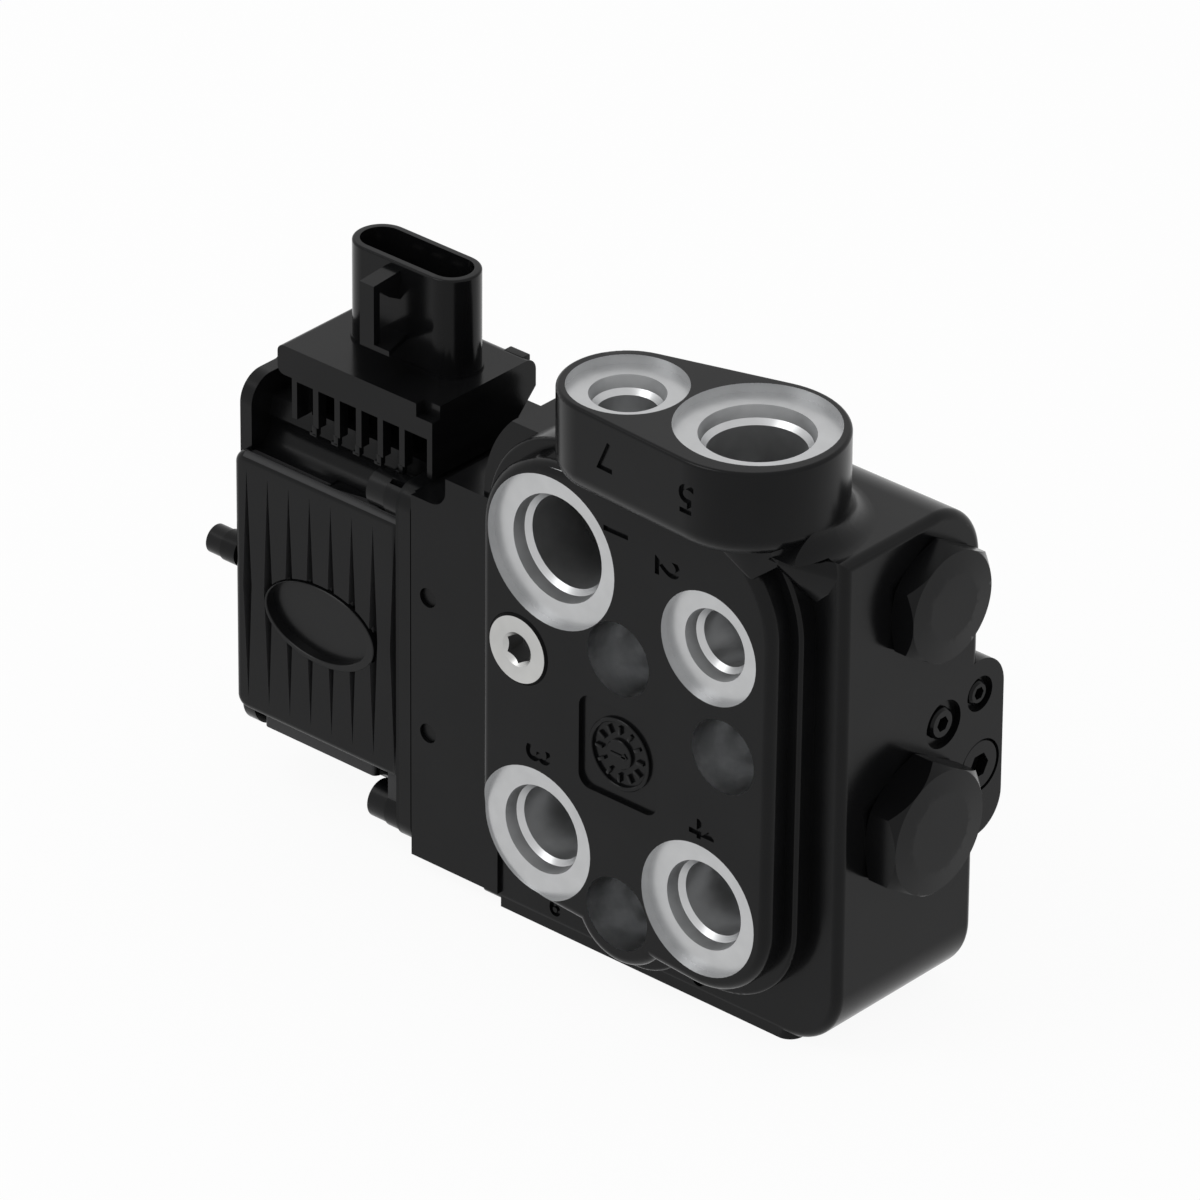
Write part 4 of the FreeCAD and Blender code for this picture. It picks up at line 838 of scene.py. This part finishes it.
@dataclass
class FoundryDial:
    """Cast-in dial in the pad's recess: a ring, month ticks and an arrow."""

    shop: Workshop
    centre: tuple[float, float, float] = (0.9, -21.5, 56.4)
    rise: float = 0.75
    ring: float = 8.1
    width: float = 0.9
    hub: float = 3.3
    ticks: int = 12
    foot: float = 0.2
    edge: float = 0.15

    def build(self) -> None:
        """Make the dial as one relief."""
        place = tuple(part * MM for part in self.centre)
        outer = self.shop.lathe(
            [(self.ring, -self.foot), (self.ring, self.rise - self.edge),
             (self.ring - self.edge, self.rise), (self.ring - self.width + self.edge, self.rise),
             (self.ring - self.width, self.rise - self.edge), (self.ring - self.width, -self.foot)],
            place, Axis.MINUS_Y)
        hub = self.shop.lathe(
            [(0.0, -self.foot), (self.hub, -self.foot), (self.hub, self.rise - self.edge),
             (self.hub - self.edge, self.rise), (0.0, self.rise)], place, Axis.MINUS_Y)
        relief = self.shop.joined([outer, hub])
        for tick in range(self.ticks):
            angle = 2.0 * math.pi * tick / self.ticks
            reach = self.ring - self.width - 1.7
            spot = Vector((math.cos(angle) * reach, math.sin(angle) * reach, self.rise / 2 - 0.1)) * MM
            turn = Matrix.Rotation(angle, 4, "Z")
            self.shop.bar(relief, Matrix.Translation(Vector(place)) @ Axis.MINUS_Y.turn()
                          @ Matrix.Translation(spot) @ turn, (1.9, 0.7, self.rise), 0.12)
        arrow = Matrix.Translation(Vector(place)) @ Axis.MINUS_Y.turn()
        self.shop.bar(relief, arrow @ Matrix.Translation(Vector((0.0, 0.0, self.rise)) * MM),
                      (4.2, 0.6, 0.5), 0.1)
        self.shop.bar(relief, arrow @ Matrix.Translation(Vector((1.6, 0.0, self.rise)) * MM)
                      @ Matrix.Rotation(math.pi / 4, 4, "Z"), (1.3, 1.3, 0.5), 0.1)
        finish = GlossBlack("dial_paint").make()
        self.shop.piece("foundry_dial", relief, [finish], "block", "block_paint")
        LOG.info("foundry dial: %d ticks", self.ticks)


@dataclass
class FinnedHousing:
    """The actuator housing with the plain sunk oval between its fins."""

    shop: Workshop
    rim: tuple[tuple[float, float, float, float, float], ...] = (
        (-90.6, -8.5, 46.6, 15.4, 9.1), (-90.6, -12.35, 46.6, 15.4, 9.1),
        (-90.6, -12.5, 46.6, 15.25, 8.95), (-91.3, -12.5, 47.0, 14.2, 8.45),
        (-91.3, -12.35, 47.0, 14.05, 8.3), (-91.3, -10.4, 47.0, 13.8, 8.05))
    seat: tuple[tuple[float, float, float, float, float], ...] = (
        (-90.6, -14.0, 46.6, 15.3, 9.0), (-90.6, -8.7, 46.6, 15.3, 9.0))
    gap: tuple[tuple[float, float, float, float, float], ...] = (
        (-90.0, -14.2, 47.4, 15.4, 9.1), (-90.0, -11.2, 47.4, 15.4, 9.1))
    groove_from: tuple[float, float, float] = (-112.0, -12.2, 12.0)
    groove_to: tuple[float, float, float] = (-66.0, -8.0, 80.0)

    def build(self) -> None:
        """Make the housing's skin, cut back for the oval, and the oval; the skin's recessed faces get
        painted light.
        """
        # The second finish is a paler, rougher black for the faces recessed between the fins: painted
        # light in the groove.
        finishes = [HOUSING_BLACK.make(),
                    GlossBlack("groove_painted_light", (0.022, 0.022, 0.023), (0.03, 0.03, 0.031),
                               0.3, 0.5).make()]
        body = self.shop.cut_away(self.shop.copy_of("finned_housing"),
                                  [self.shop.ovals(self.seat), self.shop.ovals(self.gap)])
        # Faces inside the groove box take the paler finish, which is painted light.
        for face in body.faces:
            spot = face.calc_center_median() / MM
            inside = all(low < part < high
                         for low, part, high in zip(self.groove_from, spot, self.groove_to))
            face.material_index = 1 if inside else 0
        self.shop.piece("housing_skin", body, finishes, "block", "housing_black", ["finned_housing"])
        oval = GlossBlack("oval_black", gloss=0.19, roughness=0.2, depth=0.000012).make()
        self.shop.piece("housing_oval", self.shop.ovals(self.rim), [oval], "block", "housing_black")
        LOG.info("finned housing: oval of %d rings", len(self.rim))


@dataclass
class ConnectorHood:
    """The comb cover on top: its skin and the small hooks under its posts."""

    shop: Workshop
    first: float = -96.3
    pitch: float = 6.0
    count: int = 5
    front: float = -7.3
    bottom: float = 89.4
    hook: tuple[float, float, float] = (1.3, 1.4, 2.4)
    toe: tuple[float, float, float] = (1.9, 1.2, 0.9)
    tab: tuple[float, float, float] = (-67.6, 22.9, 104.5)
    tab_size: tuple[float, float, float] = (5.4, 2.3, 1.9)

    def hooks(self) -> bmesh.types.BMesh:
        """A row of hooks, each a stem with a toe, and the tab at the plate's rear."""
        mesh = bmesh.new()
        for number in range(self.count):
            x = self.first + number * self.pitch
            stem = Vector((x, self.front + self.hook[1] / 2, self.bottom - self.hook[2] / 2 + 0.3))
            toe = Vector((x - 0.4, self.front + self.toe[1] / 2, self.bottom - self.hook[2] + 0.5))
            self.shop.bar(mesh, Matrix.Translation(stem * MM), self.hook, 0.2)
            self.shop.bar(mesh, Matrix.Translation(toe * MM), self.toe, 0.2)
        self.shop.bar(mesh, Matrix.Translation(Vector(self.tab) * MM), self.tab_size, 0.25)
        return mesh

    def build(self) -> None:
        """Make the hood's skin and its hooks."""
        finish = HOOD_BLACK.make()
        body = self.shop.copy_of("connector_hood")
        self.shop.piece("hood_skin", body, [finish], "block", "hood_black", ["connector_hood"])
        self.shop.piece("hood_hooks", self.hooks(), [finish], "block", "hood_black")
        LOG.info("connector hood: %d hooks", self.count)


@dataclass
class FrontPlug:
    """The bright screw plug in the pad: its rim stands proud, its socket is deep, and painted shade
    darkens its socket walls and its rim.
    """

    shop: Workshop
    centre: tuple[float, float, float] = (-26.0, -22.5, 70.7)
    proud: float = 0.5
    radius: float = 7.9
    key: float = 3.4
    sink: float = 3.85
    depth: float = 5.2

    def build(self) -> None:
        """Cut the socket and its chamfer, and give the socket walls and the rim darker finishes as
        painted shade.
        """
        mesh = self.shop.copy_of("front_plug")
        centre = Vector(self.centre)
        for vert in mesh.verts:
            if vert.co.y < (centre.y + 1.0) * MM:
                vert.co.y -= self.proud * MM
        cone = self.shop.lathe(
            [(0.0, 1.0), (self.sink + 1.0, 1.0), (self.sink - 1.0, -1.0), (0.0, -1.0)],
            (0.0, 0.0, 0.0), Axis.PLUS_Z, 64)
        hexagon = self.shop.lathe(
            [(0.0, 0.5), (self.key, 0.5), (self.key, -self.depth), (0.0, -self.depth)],
            (0.0, 0.0, 0.0), Axis.PLUS_Z, 6)
        front = Vector((centre.x, centre.y - self.proud, centre.z)) * MM
        place = Matrix.Translation(front) @ Axis.MINUS_Y.turn() @ Matrix.Rotation(math.pi / 6.0, 4, "Z")
        for tool in (cone, hexagon):
            bmesh.ops.transform(tool, matrix=place, verts=tool.verts)
        mesh = self.shop.cut_away(mesh, [hexagon])
        mesh = self.shop.cut_away(mesh, [cone])
        for face in mesh.faces:
            offset = (face.calc_center_median() - front) / MM
            radius = math.hypot(offset.x, offset.z)
            walls = radius < self.key and offset.y > 1.05
            rim = radius > self.radius - 0.4
            face.material_index = 1 if walls else 2 if rim else 0
        # Painted shade: the socket walls get a dark steel for the shade deep in the socket, and the rim
        # a near-black coat for the dark crescent of shade round the proud plug.
        finishes = [DrawnMetal("bright_plug", (0.56, 0.56, 0.55), roughness=0.32).make(),
                    DrawnMetal("socket_painted_shade", (0.24, 0.24, 0.24), metal=0.9, roughness=0.3).make(),
                    GlossBlack("rim_shade", gloss=0.04, roughness=0.4).make()]
        self.shop.piece("front_plug_skin", mesh, finishes, "block", "bright_plug", ["front_plug"])
        LOG.info("front plug: proud by %.1f mm", self.proud)


@dataclass
class ExpanderPlugs:
    """The two small sealing plugs of the wing, pressed in below its face."""

    shop: Workshop
    face: float = -13.0
    sink: float = 1.0

    def build(self) -> None:
        """Make the plugs' skin, sunk at its front end."""
        mesh = self.shop.copy_of("expander_plugs")
        for vert in mesh.verts:
            if vert.co.y < self.face * MM:
                vert.co.y += self.sink * MM
        finish = GlossBlack("plug_black", roughness=0.3).make()
        self.shop.piece("expander_skin", mesh, [finish], "block", "cap_paint", ["expander_plugs"])
        LOG.info("expander plugs sunk by %.1f mm", self.sink)


@dataclass
class CarriedNodes:
    """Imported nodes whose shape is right: smooth copies in their own finishes."""

    shop: Workshop
    bodies: dict[str, str]
    slots: dict[str, str]
    joints: list[dict[str, Any]]
    skipped: set[str] = field(default_factory=set)

    def stretches(self) -> dict[str, Stretch]:
        """How each spring stretches, as the record's joints say."""
        found = {}
        for joint in self.joints:
            for spring in joint.get("deforming_nodes", []):
                letter = spring["mode"][-1]
                index = "xyz".index(letter)
                low, high = (list(corner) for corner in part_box(spring["node"]))
                held = [(one + other) / 2.0 for one, other in zip(low, high)]
                moved = list(held)
                held[index] = spring["fixed_end_%s_m" % letter]
                moved[index] = max(low[index], high[index], key=lambda end: abs(end - held[index]))
                found[spring["node"]] = Stretch(joint["child"], tuple(held), tuple(moved))
        return found

    def finishes(self) -> dict[str, bpy.types.Material]:
        """One material for each of the record's slots."""
        made = [
            DrawnMetal("bright_plug", (0.56, 0.56, 0.55), roughness=0.32),
            DrawnMetal("ground_steel", (0.5, 0.5, 0.5), roughness=0.25),
            DrawnMetal("spring_steel", (0.3, 0.3, 0.31), roughness=0.35),
            DrawnMetal("screen_brass", (0.6, 0.45, 0.2), roughness=0.35),
            DrawnMetal("sensor_tube", (0.45, 0.45, 0.46), roughness=0.3),
            DrawnMetal("contact_tin", (0.5, 0.49, 0.47), roughness=0.3),
            GlossBlack("plate_steel", roughness=0.18),
            GlossBlack("screw_black", roughness=0.2, gloss=0.18),
            HOUSING_BLACK,
            HOOD_BLACK,
            GlossBlack("cap_paint"),
            GlossBlack("seal_rubber", roughness=0.26, gloss=0.12, grain=1500.0),
            Moulding("coil_black", (0.02, 0.02, 0.02)),
            Moulding("board_green", (0.01, 0.12, 0.05), roughness=0.3),
            Moulding("chip_black", (0.015, 0.015, 0.015)),
        ]
        return {finish.name: finish.make() for finish in made}

    def build(self) -> None:
        """Copy and dress every node that has no class of its own."""
        finishes = self.finishes()
        stretches = self.stretches()
        for node in self.shop.nodes:
            if node in self.skipped:
                continue
            slot = self.slots[node]
            self.shop.piece(node + "_skin", self.shop.copy_of(node), [finishes[slot]], self.bodies[node],
                            slot, [node], stretch=stretches.get(node))
        LOG.info("carried nodes: %d", len(self.shop.nodes) - len(self.skipped))


# Studio
@dataclass
class Studio:
    """Camera, lamps, floor and world."""

    lens: float = 339.64
    centre: tuple[float, float, float] = (-0.0174, -0.0225, 0.0963)
    right: tuple[float, float, float] = (0.74610, 0.66581, 0.00680)
    up: tuple[float, float, float] = (-0.33397, 0.36538, 0.86889)
    back: tuple[float, float, float] = (0.57603, -0.65054, 0.49497)
    offset: tuple[float, float, float] = (0.009835, -0.009548, 2.26428)
    sky: float = 0.75
    floor_glow: float = 0.93
    aim: tuple[float, float, float] = (-0.02, 0.0, 0.06)

    def camera(self) -> None:
        """Put the camera where the photograph was taken from."""
        data = bpy.data.cameras.new("View")
        data.lens = self.lens
        data.sensor_width = 36.0
        data.clip_end = 20.0
        item = bpy.data.objects.new("View", data)
        bpy.context.scene.collection.objects.link(item)
        right, up, back = Vector(self.right), Vector(self.up), Vector(self.back)
        spot = Vector(self.centre) + right * self.offset[0] + up * self.offset[1] + back * self.offset[2]
        item.matrix_world = Matrix.Translation(spot) @ Matrix((right, up, back)).transposed().to_4x4()
        bpy.context.scene.camera = item

    def lamp(self, name: str, place: Sequence[float], size: float, power: float) -> None:
        """Add a soft area lamp that faces the object's middle.

        Args:
            name: the lamp's name.
            place: where it hangs, in metres.
            size: its side in metres.
            power: its power in watts.
        """
        data = bpy.data.lights.new(name, "AREA")
        data.size = size
        data.energy = power
        item = bpy.data.objects.new(name, data)
        bpy.context.scene.collection.objects.link(item)
        turn = (Vector(self.aim) - Vector(place)).to_track_quat("-Z", "Y").to_matrix().to_4x4()
        item.matrix_world = Matrix.Translation(Vector(place)) @ turn

    def floor(self) -> None:
        """Pale floor that shows near white to the camera and keeps the object's shadow."""
        mesh = bmesh.new()
        bmesh.ops.create_grid(mesh, x_segments=1, y_segments=1, size=6.0)
        data = bpy.data.meshes.new("Floor")
        mesh.to_mesh(data)
        mesh.free()
        item = bpy.data.objects.new("Floor", data)
        bpy.context.scene.collection.objects.link(item)
        shader = Shader("Floor")
        shader.feed(base_color=(0.9, 0.9, 0.9, 1.0), roughness=0.9, specular_ior_level=0.0)
        glow = shader.node("ShaderNodeEmission", {}, {"Color": WHITE})
        shader.surface = shader.node("ShaderNodeMixShader", {}, {
            0: shader.seen_or_mirrored() * self.floor_glow, 1: shader.surface, 2: glow})
        data.materials.append(shader.done())

    def world(self) -> None:
        """White surroundings for the camera and mirrors, softer light on the object."""
        world = bpy.data.worlds.new("Surroundings")
        bpy.context.scene.world = world
        world.use_nodes = True
        tree = NodeTree(world.node_tree)
        lit = tree.node("ShaderNodeBackground", {}, {"Color": WHITE, "Strength": self.sky})
        seen = tree.node("ShaderNodeBackground", {}, {"Color": WHITE, "Strength": 1.0})
        mixed = tree.node("ShaderNodeMixShader", {}, {0: tree.seen_or_mirrored(), 1: lit, 2: seen})
        tree.node("ShaderNodeOutputWorld", {}, {"Surface": mixed})

    def build(self) -> None:
        """Set the stage."""
        scene = bpy.context.scene
        scene.view_settings.view_transform = "Standard"
        self.camera()
        self.world()
        self.floor()
        self.lamp("Key", (-0.9, -1.3, 2.0), 1.2, 12.0)
        LOG.info("studio set")


def main() -> None:
    """Build the whole scene in order."""
    logging.basicConfig(level=logging.INFO, format="%(name)s: %(message)s")
    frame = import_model()
    record = frame["record"]
    bodies = {node: body for body, members in record["behaviour"]["bodies"].items() for node in members}
    slots = {part["node"]: part["material_slot"] for part in record["subparts"]}
    shop = Workshop(frame["nodes"])
    Casting(shop).build()
    FoundryDial(shop).build()
    FinnedHousing(shop).build()
    ConnectorHood(shop).build()
    FrontPlug(shop).build()
    ExpanderPlugs(shop).build()
    own = {"valve_block", "finned_housing", "connector_hood", "front_plug", "expander_plugs"}
    CarriedNodes(shop, bodies, slots, record["behaviour"]["joints"], own).build()
    Studio().build()


if __name__ == "__main__":
    main()
